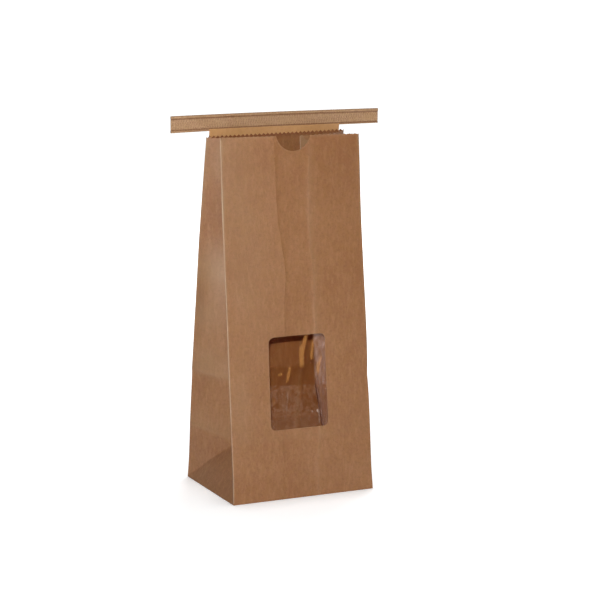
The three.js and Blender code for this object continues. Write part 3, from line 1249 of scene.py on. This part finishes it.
@dataclass
class WindowFilm:
    """Clear film glued behind the window, crinkled where nothing holds it."""

    form: BagForm
    window: Opening
    paper: float
    margin: float = 6.0 * MM
    film: float = 0.05 * MM
    pitch: float = 0.34 * MM
    gap: float = 0.04 * MM
    slack: float = 0.25 * MM
    held: float = 5.0 * MM

    def crinkle(self, x: Array, z: Array) -> Array:
        """Depth of the crinkles: a slack swell outwards and the folds in FILM_FOLDS.

        Args:
            x: X of each point.
            z: Height of each point.

        Returns:
            Distance inwards from the glued plane.
        """
        window = self.window
        from_side = window.width / 2 - np.abs(x - window.centre)
        from_end = np.minimum(z - window.sill, window.head - z)
        free = smooth_step(np.minimum(from_side, from_end) / self.held)
        folded = sum(fold.rise * MM * fold.share(x, z) for fold in FILM_FOLDS)
        return (folded - self.slack) * free

    def glints(self, x: Array, z: Array) -> Array:
        """Strength of the folds' painted glints: above 0 warm painted light, below 0 white."""
        return np.clip(sum(fold.glint * fold.share(x, z) for fold in FILM_FOLDS), -1, 1)

    def build(self) -> Piece:
        """Lay the film behind the front panel's inner face.

        Returns:
            The film as one closed object.
        """
        window = self.window
        reach = window.width / 2 + self.margin
        low, high = window.sill - self.margin, window.head + self.margin
        columns = int(2 * reach / self.pitch)
        rows = int((high - low) / self.pitch)
        across = window.centre + np.linspace(-reach, reach, columns)
        z, x = lattice(np.linspace(low, high, rows), across)
        outside, normal = self.form.sheet(self.form.girth_at(FRONT, x), z)
        behind = self.paper + self.gap + self.crinkle(x, z)
        face = outside - normal * behind[..., None]
        surface = slab(face, face - normal * self.film)
        surface.wear_and_painted_light = np.tile(self.glints(x, z).ravel(), 2)
        return surface.to_object("film")


# --- Carrier strip and tie ------------------------------------------------------------------


@dataclass
class CarrierStrip:
    """Golden strip glued to the outside of the back panel, which carries the tie."""

    form: BagForm
    left: float = -39.8 * MM
    right: float = 39.1 * MM
    bottom: float = 186.0 * MM
    top_left: float = 199.9 * MM
    top_right: float = 200.4 * MM
    sheet: float = 0.2 * MM
    glue: float = 0.12 * MM
    wave: float = 0.05 * MM
    grid: Counts = (24, 120)

    def build(self) -> Piece:
        """Lay the strip on the back panel and up past its edge, with a faint wave.

        Returns:
            The strip as one closed object.
        """
        rows, columns = self.grid
        v, u = lattice(np.linspace(0, 1, rows), np.linspace(0, 1, columns))
        x = between(self.left, self.right, u)
        top = between(self.top_left, self.top_right, u)
        z = between(self.bottom, top, v)
        wave = self.wave * np.sin(26 * u + 2.1 * v)
        y = self.form.back_y(z) + self.glue + wave * v
        face = np.stack([x, y, z], -1)
        back = face + np.array([0.0, self.sheet, 0.0])
        return slab(face, back).to_object("glued_strip")


@dataclass
class TinTie:
    """Paper tie with a wire wrapped into each long edge."""

    form: BagForm
    length: float = 126.0 * MM
    shift: float = 1.05 * MM
    middle_y: float = 11.6 * MM
    bottom_left: float = 198.1 * MM
    bottom_right: float = 199.7 * MM
    top_left: float = 207.35 * MM
    top_right: float = 208.1 * MM
    bow: float = 0.3 * MM
    upper_bead: float = 1.8 * MM
    lower_bead_left: float = 1.5 * MM
    lower_bead_right: float = 0.9 * MM
    bead_half: float = 0.62 * MM
    web_half: float = 0.28 * MM
    wire_radius: float = 0.4 * MM
    wire_past_end: float = 0.0008
    sway: float = 0.1 * MM
    groove_half: float = 0.4 * MM
    row_pitch: float = 0.95 * MM
    dimple_pitch: float = 1.5 * MM
    dimple_depth: float = 0.16 * MM
    shade_depth: float = 0.09 * MM
    crepe_depth: float = 0.015 * MM
    edge_fades: Pair = (2.0 * MM, 2.2 * MM)
    row_shares: Pair = (0.2, 0.79)
    row_counts: tuple[int, int, int] = (15, 26, 17)
    columns: int = 480
    wire_grid: Counts = (120, 16)

    def levels(self, u: Array) -> tuple[Array, Array, Array]:
        """Edges of the tie along its length.

        Args:
            u: Share of the way from the left end to the right.

        Returns:
            Height of the bottom edge, height of the top edge and height of the lower bead alone.
        """
        bow = self.bow * np.sin(np.pi * u)
        bottom = between(self.bottom_left, self.bottom_right, u) + bow
        top = between(self.top_left, self.top_right, u) + bow
        return bottom, top, between(self.lower_bead_left, self.lower_bead_right, u)

    def line(self, u: Array) -> tuple[Array, Array]:
        """X and Y of the tie's middle line, which sways by a sine along its length."""
        x = self.shift + between(-self.length / 2, self.length / 2, u)
        return x, self.middle_y + self.sway * np.sin(7 * u)

    def half_thickness(self, z: Array, bottom: Array, top: Array, bead: Array) -> Array:
        """Half the tie's thickness at a height: an ellipse round each wire, else the web.

        Args:
            z: Height of each point.
            bottom: Height of the bottom edge there.
            top: Height of the top edge.
            bead: Height of the lower bead alone.

        Returns:
            Half the thickness.
        """
        below = (z - bottom) / bead * 2 - 1
        above = (top - z) / self.upper_bead * 2 - 1
        lower = np.sqrt(np.maximum(1 - below**2, 0)) * self.bead_half * (below < 1)
        upper = np.sqrt(np.maximum(1 - above**2, 0)) * self.bead_half * (above < 1)
        web = self.web_half * ((below > 0) & (above > 0))
        return np.maximum(np.maximum(lower, upper), web)

    def emboss(self, x: Array, z: Array, bottom: Array, top: Array) -> Array:
        """Crepe of the web: rows of small dimples, uneven in size and drifting out of step.

        A row's dimples are the positive half of a cosine whose phase drifts along the tie. Two
        slow waves that differ from row to row make them come and go, and finer ones cross them.

        Args:
            x: X of each point.
            z: Height of each point.
            bottom: Height of the bottom edge there.
            top: Height of the top edge.

        Returns:
            Depth, away from the front.
        """
        row = (z - bottom) / self.row_pitch
        step = np.floor(row)

        def wave(length: float, turned: float) -> Array:
            """Sine along the tie, turned by so much from row to row; its length in mm."""
            return np.sin(x / (length * MM) + turned * step)

        drift = 1.7 * wave(9.0, 2.4) + 2.1 * step
        across = np.maximum(np.cos(2 * np.pi * x / self.dimple_pitch + drift), 0.0)
        dimple = across * np.sin(np.pi * (row % 1))
        patches = 0.55 + 0.45 * wave(4.3, 1.9) * wave(2.9, 0.7)
        creases = wave(0.55, 2.3) * wave(3.1, 1.3)
        from_bottom, from_top = self.edge_fades
        inside = smooth_step((z - bottom) / from_bottom) * smooth_step((top - z) / from_top)
        return (self.crepe_depth * creases + self.dimple_depth * dimple * patches) * inside

    def rows(self) -> Array:
        """Heights of the grid's rows, closer in both beads and even in the web between them.

        Returns:
            Shares of the tie's height, rising.
        """
        low, high = self.row_shares
        in_lower, in_web, in_upper = self.row_counts
        web = np.linspace(low, high, in_web)[1:-1]
        return np.concatenate([low * eased(in_lower), web, high + (1 - high) * eased(in_upper)])

    def build(self) -> list[Piece]:
        """Build the paper tie and the two wires whose ends show at its cut ends.

        Returns:
            The paper and the wires.
        """
        v, u = lattice(self.rows(), np.linspace(0, 1, self.columns))
        x, middle = self.line(u)
        bottom, top, bead = self.levels(u)
        z = between(bottom, top, v)
        half = self.half_thickness(z, bottom, top, bead)
        emboss = self.emboss(x, z, bottom, top)
        near = np.stack([x, middle - half + emboss, z], -1)
        far = np.stack([x, middle + half + emboss, z], -1)
        body = slab(near, far)
        # Painted shade: darker in the grooves beside the beads and along the top edge, darker the
        # deeper each dimple of the crepe lies, and paler where the crepe stands out.
        groove_shade = self.groove(z, bottom + bead) + self.groove(z, top - self.upper_bead)
        groove_shade = groove_shade + 0.5 * self.groove(z, top)
        dimples = np.clip(emboss / self.shade_depth, -1, 1) * -0.68
        body.wear_and_painted_light = np.tile((dimples - np.clip(groove_shade, 0, 1)).ravel(), 2)
        paper = body.to_object("tie_paper", smooth_below=70)
        return [paper, self.wire("upper"), self.wire("lower")]

    def groove(self, z: Array, level: Array) -> Array:
        """How deep in a groove a height lies, for the painted shade there: exp(-(d / groove_half)^2),
        d from its level.
        """
        return np.exp(-(((z - level) / self.groove_half) ** 2))

    def wire(self, which: str) -> Piece:
        """One wire: a circle carried along its bead, a little past both cut ends.

        Args:
            which: The bead that it lies in, upper or lower.

        Returns:
            The wire as one closed object.
        """
        stations, around = self.wire_grid
        u = np.linspace(-self.wire_past_end, 1 + self.wire_past_end, stations)[:, None]
        angle = np.linspace(0, 2 * np.pi, around, endpoint=False)
        bottom, top, bead = self.levels(u)
        height = top - self.upper_bead / 2 if which == "upper" else bottom + bead / 2
        x, middle = self.line(u + 0 * angle)
        y = middle + self.wire_radius * np.cos(angle)
        z = height + self.wire_radius * np.sin(angle)
        return tube(np.stack([x, y, z], -1)).to_object(f"tie_wire_{which}")


# --- Finishes -------------------------------------------------------------------------------


class Nodes:
    """Adds shader nodes to a material or a world and links them."""

    def __init__(self, owner: bpy.types.Material | bpy.types.World) -> None:
        """Start with an empty node tree.

        Args:
            owner: The new material or world that the nodes are for.
        """
        owner.use_nodes = True
        self.owner = owner
        self.tree = owner.node_tree
        self.tree.nodes.clear()

    def fill(self, socket: Socket, value: Value) -> None:
        """Link an input to an output socket, or set it to a plain value."""
        if isinstance(value, Socket):
            self.tree.links.new(value, socket)
        else:
            socket.default_value = value

    def add(
        self, kind: str, inputs: dict[str | int, Value] | None = None, **settings: object
    ) -> bpy.types.Node:
        """Add one node.

        Args:
            kind: Node type without its ShaderNode prefix.
            inputs: Input name or number to its value.
            settings: Attributes of the node itself.

        Returns:
            The new node.
        """
        node = self.tree.nodes.new("ShaderNode" + kind)
        for key, value in settings.items():
            setattr(node, key, value)
        for key, value in (inputs or {}).items():
            self.fill(node.inputs[key], value)
        return node

    def noise(self, vector: Socket, scale: float, detail: float, rough: float) -> Socket:
        """Noise texture in [0, 1], as its factor output."""
        inputs = {"Vector": vector, "Scale": scale, "Detail": detail, "Roughness": rough}
        return self.add("TexNoise", inputs).outputs["Fac"]

    def object_coords(self, stretch: Place = (1, 1, 1)) -> Socket:
        """Object coordinates, scaled along each axis."""
        coords = self.add("TexCoord").outputs["Object"]
        return self.add("Mapping", {"Vector": coords, "Scale": stretch}).outputs["Vector"]

    def remap(self, value: Value, low: float, high: float, to_low: float, to_high: float) -> Socket:
        """Map a value from one range to another, clamped."""
        ends = {"From Min": low, "From Max": high, "To Min": to_low, "To Max": to_high}
        return self.add("MapRange", {"Value": value, **ends}).outputs["Result"]

    def math(self, operation: str, *values: Value) -> Socket:
        """Work out one operation of the Math node on one or two values."""
        return self.add("Math", dict(enumerate(values)), operation=operation).outputs[0]

    def times(self, one: Value, other: Value) -> Socket:
        """Multiply two values."""
        return self.math("MULTIPLY", one, other)

    def tint(self, colour: Value, factor: Value, other: Value) -> Socket:
        """Mix two colours.

        Args:
            colour: The colour at factor 0.
            factor: Share of the other colour.
            other: The colour at factor 1.

        Returns:
            The mixed colour.
        """
        node = self.add("Mix", data_type="RGBA", blend_type="MIX")
        for key, value in (("Factor", factor), ("A", colour), ("B", other)):
            self.fill(next(s for s in node.inputs if s.name == key and s.enabled), value)
        return next(s for s in node.outputs if s.enabled)

    def shader(self, kind: str, **inputs: Value) -> Socket:
        """Add a surface shader, its inputs named as on the node but for the spaces."""
        named = {key.replace("_", " "): value for key, value in inputs.items()}
        return self.add("Bsdf" + kind, named).outputs["BSDF"]

    def blend(self, factor: Value, one: Socket, other: Socket) -> Socket:
        """Mix two shaders by a factor."""
        return self.add("MixShader", {"Fac": factor, 1: one, 2: other}).outputs["Shader"]

    def wear_and_painted_light(self) -> Socket:
        """The value that the mesh holds for each of its points."""
        return self.add("Attribute", attribute_name="wear_and_painted_light").outputs["Fac"]

    def finish(self, surface: Socket) -> bpy.types.Material:
        """Link the surface shader to the output and return the material."""
        self.add("OutputMaterial", {"Surface": surface})
        return self.owner


def linear(red: int, green: int, blue: int) -> tuple[float, float, float, float]:
    """Turn a display colour into the linear colour that shaders use, by the sRGB curve.

    Args:
        red: From 0 to 255, as are the others.
        green: The green share.
        blue: The blue share.

    Returns:
        Red, green and blue from 0 to 1, and an opacity of 1.
    """
    scaled = np.array([red, green, blue]) / 255
    low = scaled / 12.92
    high = ((scaled + 0.055) / 1.055) ** 2.4
    value = np.where(scaled <= 0.04045, low, high)
    return (float(value[0]), float(value[1]), float(value[2]), 1.0)


@dataclass(frozen=True)
class PaperFinish:
    """Uncoated paper: mottled tone, fibres along the machine direction and flecks.

    `through` is how much light each face lets into or out of the sheet, as a share of its
    colour raised to `depth_of_colour`, because the light is tinted on its way through.
    """

    name: str
    tone: Colour
    pale: Colour
    golden: Colour
    dark: Colour
    darkened_and_shade: Colour
    worn_and_sheen: Colour
    through: float = 0.0
    depth_of_colour: float = 1.6
    roughness: float = 0.48
    gloss: float = 0.75
    grain: float = 0.085 * MM
    fibre_scale: float = 520.0
    stretch: Place = (1.0, 1.0, 0.3)

    def material(self) -> bpy.types.Material:
        """Build the node material: the tone, tinted by one pattern after another.

        Returns:
            The material.
        """
        n = Nodes(bpy.data.materials.new(self.name))
        plain, upright = n.object_coords(), n.object_coords(self.stretch)
        clouds = n.noise(plain, 38.0, 5.0, 0.6)
        patches = n.noise(plain, 240.0, 3.0, 0.6)
        mottle = n.noise(plain, 620.0, 5.0, 0.75)
        fibres = n.noise(upright, self.fibre_scale, 6.0, 0.7)
        flecks = n.noise(upright, self.fibre_scale * 2.3, 2.0, 0.5)
        wear_and_painted_light = n.wear_and_painted_light()
        colour = linear(*self.tone)
        for pattern, ramp, tint in (
            (clouds, (0.35, 0.7, 0.0, 0.35), self.pale),
            (patches, (0.42, 0.6, 0.0, 0.4), self.golden),
            (mottle, (0.46, 0.68, 0.0, 0.45), self.dark),
            (fibres, (0.48, 0.7, 0.0, 0.45), self.pale),
            (flecks, (0.68, 0.8, 0.0, 0.5), self.dark),
            # The mesh's value: above 0 paler, where paper is rubbed and where sheen and highlights
            # are painted; below 0 darker, where shade is painted and where the top of the back panel
            # is darkened.
            (wear_and_painted_light, (0.0, 1.0, 0.0, 0.8), self.worn_and_sheen),
            (wear_and_painted_light, (-1.0, 0.0, 0.8, 0.0), self.darkened_and_shade),
        ):
            colour = n.tint(colour, n.remap(pattern, *ramp), linear(*tint))
        relief = n.math("ADD", fibres, mottle)
        bump = n.add("Bump", {"Height": relief, "Distance": self.grain, "Strength": 1.0})
        shader = n.shader(
            "Principled",
            Base_Color=colour,
            Roughness=n.remap(mottle, 0.3, 0.7, self.roughness - 0.05, self.roughness + 0.08),
            Specular_IOR_Level=self.gloss,
            Normal=bump.outputs["Normal"],
        )
        if not self.through:
            return n.finish(shader)
        deeper = n.add("Gamma", {"Color": colour, "Gamma": self.depth_of_colour}).outputs["Color"]
        passing = n.add("VectorMath", {0: deeper, "Scale": self.through}, operation="SCALE")
        glow = n.shader("Translucent", Color=passing.outputs["Vector"])
        return n.finish(n.add("AddShader", {0: shader, 1: glow}).outputs["Shader"])


@dataclass(frozen=True)
class FilmFinish:
    """Clear film: passes nearly all light straight on and mirrors the rest.

    Below fog_top the film is veiled in patches, which run together below fog_base, and right of
    gusset_x it is streaked all the way up: partly haze, and partly a painted pale veil that stands
    for a reflection of the bright table in the lower film and adds painted light to the gusset seen
    behind at the right. A dark line of painted shade, for the shaded fold of the gusset behind,
    leans to the right from its top down to the window's sill. The folds' painted glints are a warm
    or a white diffuse share of the surface.
    """

    name: str = "clear_film"
    haze: float = 0.001
    fog_and_painted_light: float = 0.038
    fog_top: float = 61.9 * MM
    fog_slope: float = 0.063
    fog_base: float = 47.5 * MM
    gusset_x: float = 9.6 * MM
    shade_line_x: float = 9.7 * MM
    shade_line_top: float = 60.0 * MM
    shade_line_run: float = 2.9 * MM
    window_sill: float = 38.0 * MM
    shade_line_half: Pair = (0.12 * MM, 0.42 * MM)
    shade_line_fade: float = 5.0 * MM
    fog_fade: float = 0.7 * MM
    base_fade: float = 2.0 * MM
    streak_edge: float = 0.5 * MM
    refraction: float = 1.14
    clear_tint: Place = (0.94, 0.91, 0.85)
    shade_line_tint: Place = (0.42, 0.3, 0.22)
    mirror_tint: Place = (1.0, 0.97, 0.92)
    fog_tint: Place = (0.88, 0.62, 0.49)
    streak_tint: Place = (0.95, 0.69, 0.66)
    warm_glint: Place = (0.85, 0.39, 0.11)
    white_glint: Place = (0.95, 0.85, 0.78)

    def material(self) -> bpy.types.Material:
        """Build the node material: the clear sheet, its fog over it, and the glints on top.

        Returns:
            The material.
        """
        n = Nodes(bpy.data.materials.new(self.name))
        coords = n.object_coords()
        place = n.add("SeparateXYZ", {0: coords})
        x, z = place.outputs["X"], place.outputs["Z"]
        leaning = n.remap(z, self.window_sill, self.shade_line_top, self.shade_line_run, 0.0)
        across = n.math("SUBTRACT", x, leaning)
        fogged_and_lit = self.fogged_and_lit(n, self.sheet(n, across, z), coords, across, x, z)

        wear_and_painted_light = n.wear_and_painted_light()
        # Painted glints: along the folds a warm diffuse colour stands for gathered light, and a white
        # one for highlights.
        uneven = n.remap(n.noise(coords, 500.0, 3.0, 0.6), 0.3, 0.6, 0.6, 1.0)
        warm = n.times(n.remap(wear_and_painted_light, 0.1, 0.9, 0.0, 0.21), uneven)
        white = n.times(n.remap(wear_and_painted_light, -0.9, -0.05, 0.3, 0.0), uneven)
        glinting = n.blend(warm, fogged_and_lit, n.shader("Diffuse", Color=(*self.warm_glint, 1.0)))
        return n.finish(n.blend(white, glinting, n.shader("Diffuse", Color=(*self.white_glint, 1.0))))

    def sheet(self, n: Nodes, across: Socket, z: Socket) -> Socket:
        """Clear sheet with its dark line of painted shade.

        Args:
            n: The material's nodes.
            across: X, less the lean of the painted shade line at that height.
            z: Height of the shaded point.

        Returns:
            The shader. Its back faces mirror nothing, since the film is too thin for the total
            reflection that they would show.
        """
        # Painted shade: a dark line that stands for the shaded fold of the gusset seen behind the
        # film.
        distance = n.math("ABSOLUTE", n.math("SUBTRACT", across, self.shade_line_x))
        creased = n.remap(distance, *self.shade_line_half, 1.0, 0.0)
        below_top = n.remap(z, self.shade_line_top, self.shade_line_top + self.shade_line_fade, 1.0, 0.0)
        share = n.times(n.times(creased, below_top), 0.75)
        passed = n.tint((*self.clear_tint, 1.0), share, (*self.shade_line_tint, 1.0))
        mirror = n.shader("Glossy", Color=(*self.mirror_tint, 1.0), Roughness=0.14)
        fresnel = n.add("Fresnel", {"IOR": self.refraction}).outputs["Fac"]
        at_back = n.add("NewGeometry").outputs["Backfacing"]
        mirrored = n.times(fresnel, n.remap(at_back, 0.0, 1.0, 1.0, 0.0))
        return n.blend(mirrored, n.shader("Transparent", Color=passed), mirror)

    def fogged_and_lit(
        self, n: Nodes, sheet: Socket, coords: Socket, across: Socket, x: Socket, z: Socket
    ) -> Socket:
        """Lay a pale veil over the sheet: partly haze and partly painted light.

        Args:
            n: The material's nodes.
            sheet: Shader of the clear sheet.
            coords: Place of the shaded point.
            across: X, less the lean of the painted shade line at that height.
            x: X of the shaded point.
            z: Height of the shaded point.

        Returns:
            The veiled shader.
        """
        # Painted light, in part: the pale veil stands for a reflection of the table in the lower
        # film, and adds light to the gusset behind the right part.
        patches = n.remap(n.noise(coords, 380.0, 5.0, 0.7), 0.45, 0.57, 0.0, 1.0)
        streaks = n.noise(n.object_coords((1, 1, 0.25)), 900.0, 4.0, 0.65)
        streaks = n.remap(streaks, 0.4, 0.62, 0.25, 1.0)
        level = n.math("ADD", z, n.times(x, self.fog_slope))
        lower = n.remap(level, self.fog_top - self.fog_fade, self.fog_top, 1.0, 0.0)
        settled = n.remap(z, self.fog_base - self.base_fade, self.fog_base, 0.36, 0.0)
        edge, half = self.gusset_x, self.streak_edge
        beside = n.remap(across, edge - half, edge + half, 0.0, 1.0)
        right = n.times(beside, n.remap(lower, 0.0, 1.0, 2.8, 1.3))
        middle = n.times(lower, n.math("MAXIMUM", patches, settled))
        fog_and_painted_light = n.math("MAXIMUM", middle, n.times(right, streaks))
        fog_and_painted_light = n.math("ADD", n.times(fog_and_painted_light, self.fog_and_painted_light), self.haze)
        tone = n.tint((*self.fog_tint, 1.0), beside, (*self.streak_tint, 1.0))
        return n.blend(fog_and_painted_light, sheet, n.shader("Diffuse", Color=tone))


@dataclass(frozen=True)
class WireFinish:
    """Galvanised wire, drawn along its length."""

    name: str = "tie_wire"
    dull: Colour = (150, 150, 150)
    bright: Colour = (205, 205, 205)

    def material(self) -> bpy.types.Material:
        """Build the node material: bare metal, streaked by a noise stretched along the wire.

        Returns:
            The material.
        """
        n = Nodes(bpy.data.materials.new(self.name))
        drawn = n.noise(n.object_coords((0.1, 1.0, 1.0)), 900.0, 3.0, 0.6)
        return n.finish(n.shader(
            "Principled",
            Base_Color=n.tint(linear(*self.dull), drawn, linear(*self.bright)),
            Metallic=1.0,
            Roughness=n.remap(drawn, 0.2, 0.8, 0.3, 0.5),
        ))


@dataclass(frozen=True)
class TableFinish:
    """Plain pale table, whose own glow is seen but lights nothing, with a painted contact shadow in
    that glow under the bag.
    """

    name: str = "pale_table"
    glow: float = 0.54
    far_glow: float = 0.9
    reach: Pair = (0.05, 0.45)
    contact_shadow_reach: float = 18.0 * MM

    def material(self) -> bpy.types.Material:
        """Build the node material. The glow grows with distance, and a painted contact shadow dims it
        where the bag is close.

        Returns:
            The material.
        """
        n = Nodes(bpy.data.materials.new(self.name))
        seen = n.add("LightPath").outputs["Is Camera Ray"]
        away = n.add("VectorMath", {0: n.object_coords()}, operation="LENGTH").outputs["Value"]
        spread = n.remap(away, *self.reach, self.glow, self.far_glow)
        painted_contact_shadow = n.add("AmbientOcclusion", {"Distance": self.contact_shadow_reach}, samples=8).outputs["AO"]
        return n.finish(n.shader(
            "Principled",
            Base_Color=(0.88, 0.88, 0.88, 1.0),
            Roughness=0.8,
            Emission_Color=(1.0, 1.0, 1.0, 1.0),
            Emission_Strength=n.times(n.times(seen, spread), painted_contact_shadow),
        ))


KRAFT = PaperFinish(
    "kraft_paper",
    tone=(141, 93, 54),
    pale=(162, 121, 82),
    golden=(143, 99, 50),
    dark=(120, 76, 40),
    darkened_and_shade=(108, 50, 19),
    worn_and_sheen=(157, 131, 98),
    through=1.25,
)
GOLDEN = PaperFinish(
    "carrier_paper",
    tone=(194, 144, 93),
    pale=(204, 158, 109),
    golden=(196, 148, 92),
    dark=(177, 127, 76),
    darkened_and_shade=(150, 98, 56),
    worn_and_sheen=(212, 172, 126),
    grain=0.03 * MM,
)
TAN = PaperFinish(
    "tie_paper",
    tone=(175, 135, 99),
    pale=(194, 158, 122),
    golden=(174, 138, 92),
    dark=(143, 104, 69),
    darkened_and_shade=(116, 74, 40),
    worn_and_sheen=(198, 168, 132),
    grain=0.05 * MM,
    stretch=(0.2, 1.0, 1.0),
)


# --- Studio ---------------------------------------------------------------------------------


@dataclass(frozen=True)
class Flag:
    """A dark patch in the surroundings, full within `inner` degrees and gone beyond `outer`."""

    azimuth: float
    elevation: float
    inner: float
    outer: float
    depth: float


@dataclass(frozen=True)
class Lamp:
    """A rectangular lamp that points at the bag."""

    name: str
    azimuth: float
    elevation: float
    distance: float
    size: Pair
    power: float


@dataclass(frozen=True)
class Studio:
    """Camera at the photograph's angle, a small lamp just above it, and soft light behind."""

    azimuth: float = -26.30
    elevation: float = 10.82
    roll: float = 0.83
    distance: float = 1.138
    aim: Place = (11.25 * MM, 0.0, 103.81 * MM)
    focal_pixels: float = 2045.0
    frame_pixels: float = 600.0
    sensor: float = 36.0
    lamps: tuple[Lamp, ...] = (
        Lamp("key", -26.8, 14.2, 1.138, (0.035, 0.014), 9.4),
        Lamp("back_light", 142.0, 27.0, 1.2, (0.7, 0.5), 6.5),
    )
    fill: float = 0.31
    table_level: float = -0.02 * MM
    flags: tuple[Flag, ...] = (
        Flag(26.0, 3.0, 25.0, 52.0, 0.97),
        Flag(-108.0, 4.0, 30.0, 75.0, 0.26),
    )
    clip: Pair = (0.05, 60.0)
    table_radius: float = 12.0
    table_grid: Counts = (24, 96)

    def direction(self, azimuth: float, elevation: float) -> Vector:
        """Unit vector from the object towards an azimuth and elevation in degrees."""
        a, e = math.radians(azimuth), math.radians(elevation)
        return Vector((math.sin(a) * math.cos(e), -math.cos(a) * math.cos(e), math.sin(e)))

    def camera(self) -> None:
        """Create the camera and make it the scene's own."""
        back = self.direction(self.azimuth, self.elevation)
        right = Vector((0, 0, 1)).cross(back).normalized()
        up = back.cross(right)
        turn = math.radians(self.roll)
        level_right = right * math.cos(turn) + up * math.sin(turn)
        level_up = up * math.cos(turn) - right * math.sin(turn)
        data = bpy.data.cameras.new("camera")
        data.sensor_fit = "HORIZONTAL"
        data.sensor_width = self.sensor
        data.lens = self.focal_pixels / self.frame_pixels * self.sensor
        data.clip_start, data.clip_end = self.clip
        camera = bpy.data.objects.new("camera", data)
        rotation = Matrix((level_right, level_up, back)).transposed().to_4x4()
        camera.matrix_world = Matrix.Translation(Vector(self.aim) + back * self.distance) @ rotation
        bpy.context.scene.collection.objects.link(camera)
        bpy.context.scene.camera = camera

    def light(self) -> None:
        """Create the lamps: one just above the camera and a soft one behind the bag."""
        for lamp in self.lamps:
            toward = self.direction(lamp.azimuth, lamp.elevation)
            data = bpy.data.lights.new(lamp.name, "AREA")
            data.shape = "RECTANGLE"
            data.size, data.size_y = lamp.size
            data.energy = lamp.power
            light = bpy.data.objects.new(lamp.name, data)
            light.location = Vector(self.aim) + toward * lamp.distance
            light.rotation_euler = toward.to_track_quat("Z", "Y").to_euler()
            bpy.context.scene.collection.objects.link(light)

    def surroundings(self) -> None:
        """Create soft pale surroundings with dark flags.

        Their brightness is fill, times a factor for each flag that rises smoothly from 1 - depth
        in the flag's direction to 1 away from it.
        """
        n = Nodes(bpy.data.worlds.new("surroundings"))
        coords = n.add("TexCoord").outputs["Generated"]
        strength = self.fill
        for flag in self.flags:
            middle = self.direction(flag.azimuth, flag.elevation)
            toward = n.add("VectorMath", {0: coords, 1: middle}, operation="DOT_PRODUCT")
            fall = n.add("MapRange", {
                "Value": toward.outputs["Value"],
                "From Min": math.cos(math.radians(flag.outer)),
                "From Max": math.cos(math.radians(flag.inner)),
                "To Min": 1.0,
                "To Max": 1 - flag.depth,
            }, interpolation_type="SMOOTHSTEP")
            strength = n.times(strength, fall.outputs["Result"])
        sky = n.add("Background", {"Color": (1.0, 1.0, 1.0, 1.0), "Strength": strength})
        n.add("OutputWorld", {"Surface": sky.outputs["Background"]})
        bpy.context.scene.world = n.owner
        bpy.context.scene.view_settings.view_transform = "Standard"
        bpy.context.scene.view_settings.look = "None"

    def table(self) -> None:
        """Lay a large round table top under the bag, as rings whose radius grows as a square."""
        rings, around = self.table_grid
        radius = self.table_radius * np.linspace(0.0005, 1, rings) ** 2
        angle = np.linspace(0, 2 * np.pi, around, endpoint=False)
        x = radius[:, None] * np.cos(angle)
        y = radius[:, None] * np.sin(angle)
        top = np.stack([x, y, np.full_like(x, self.table_level)], -1)[::-1]
        surface = Surface(top.reshape(-1, 3), grid_quads(rings, around, closed=True), NO_TRIANGLES)
        floor = surface.to_object("table")
        floor.data.materials.append(TableFinish().material())


# --- Assembly -------------------------------------------------------------------------------


def hand_over(piece: Piece, finish: bpy.types.Material) -> None:
    """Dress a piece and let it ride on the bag.

    Args:
        piece: The piece.
        finish: Its material.
    """
    piece.data.materials.append(finish)
    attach(piece, ROOT)
    log.info("%s: %d faces", piece.name, len(piece.data.polygons))


def main() -> None:
    """Build the studio and every piece of the bag, in order."""
    logging.basicConfig(level=logging.INFO, format="%(name)s %(message)s")
    low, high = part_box("bag_body")
    form = BagForm(panel=high[0] - low[0], depth=high[1] - low[1])
    window, notch = Opening(), Notch()

    studio = Studio()
    studio.camera()
    studio.light()
    studio.surroundings()
    studio.table()

    kraft = KRAFT.material()
    bag = PaperBag(form, window, notch)
    paper = bag.build()
    hand_over(paper, kraft)
    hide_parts("bag_body")
    for piece in FoldedBase(form).build():
        hand_over(piece, kraft)

    film = WindowFilm(form, window, bag.thickness).build()
    hand_over(film, FilmFinish().material())
    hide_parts("window_film")

    strip = CarrierStrip(form).build()
    hand_over(strip, GOLDEN.material())
    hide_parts("carrier_strip")

    tie_paper, *wires = TinTie(form).build()
    hand_over(tie_paper, TAN.material())
    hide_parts("tin_tie")
    wire_finish = WireFinish().material()
    for wire in wires:
        hand_over(wire, wire_finish)


if __name__ == "__main__":
    main()
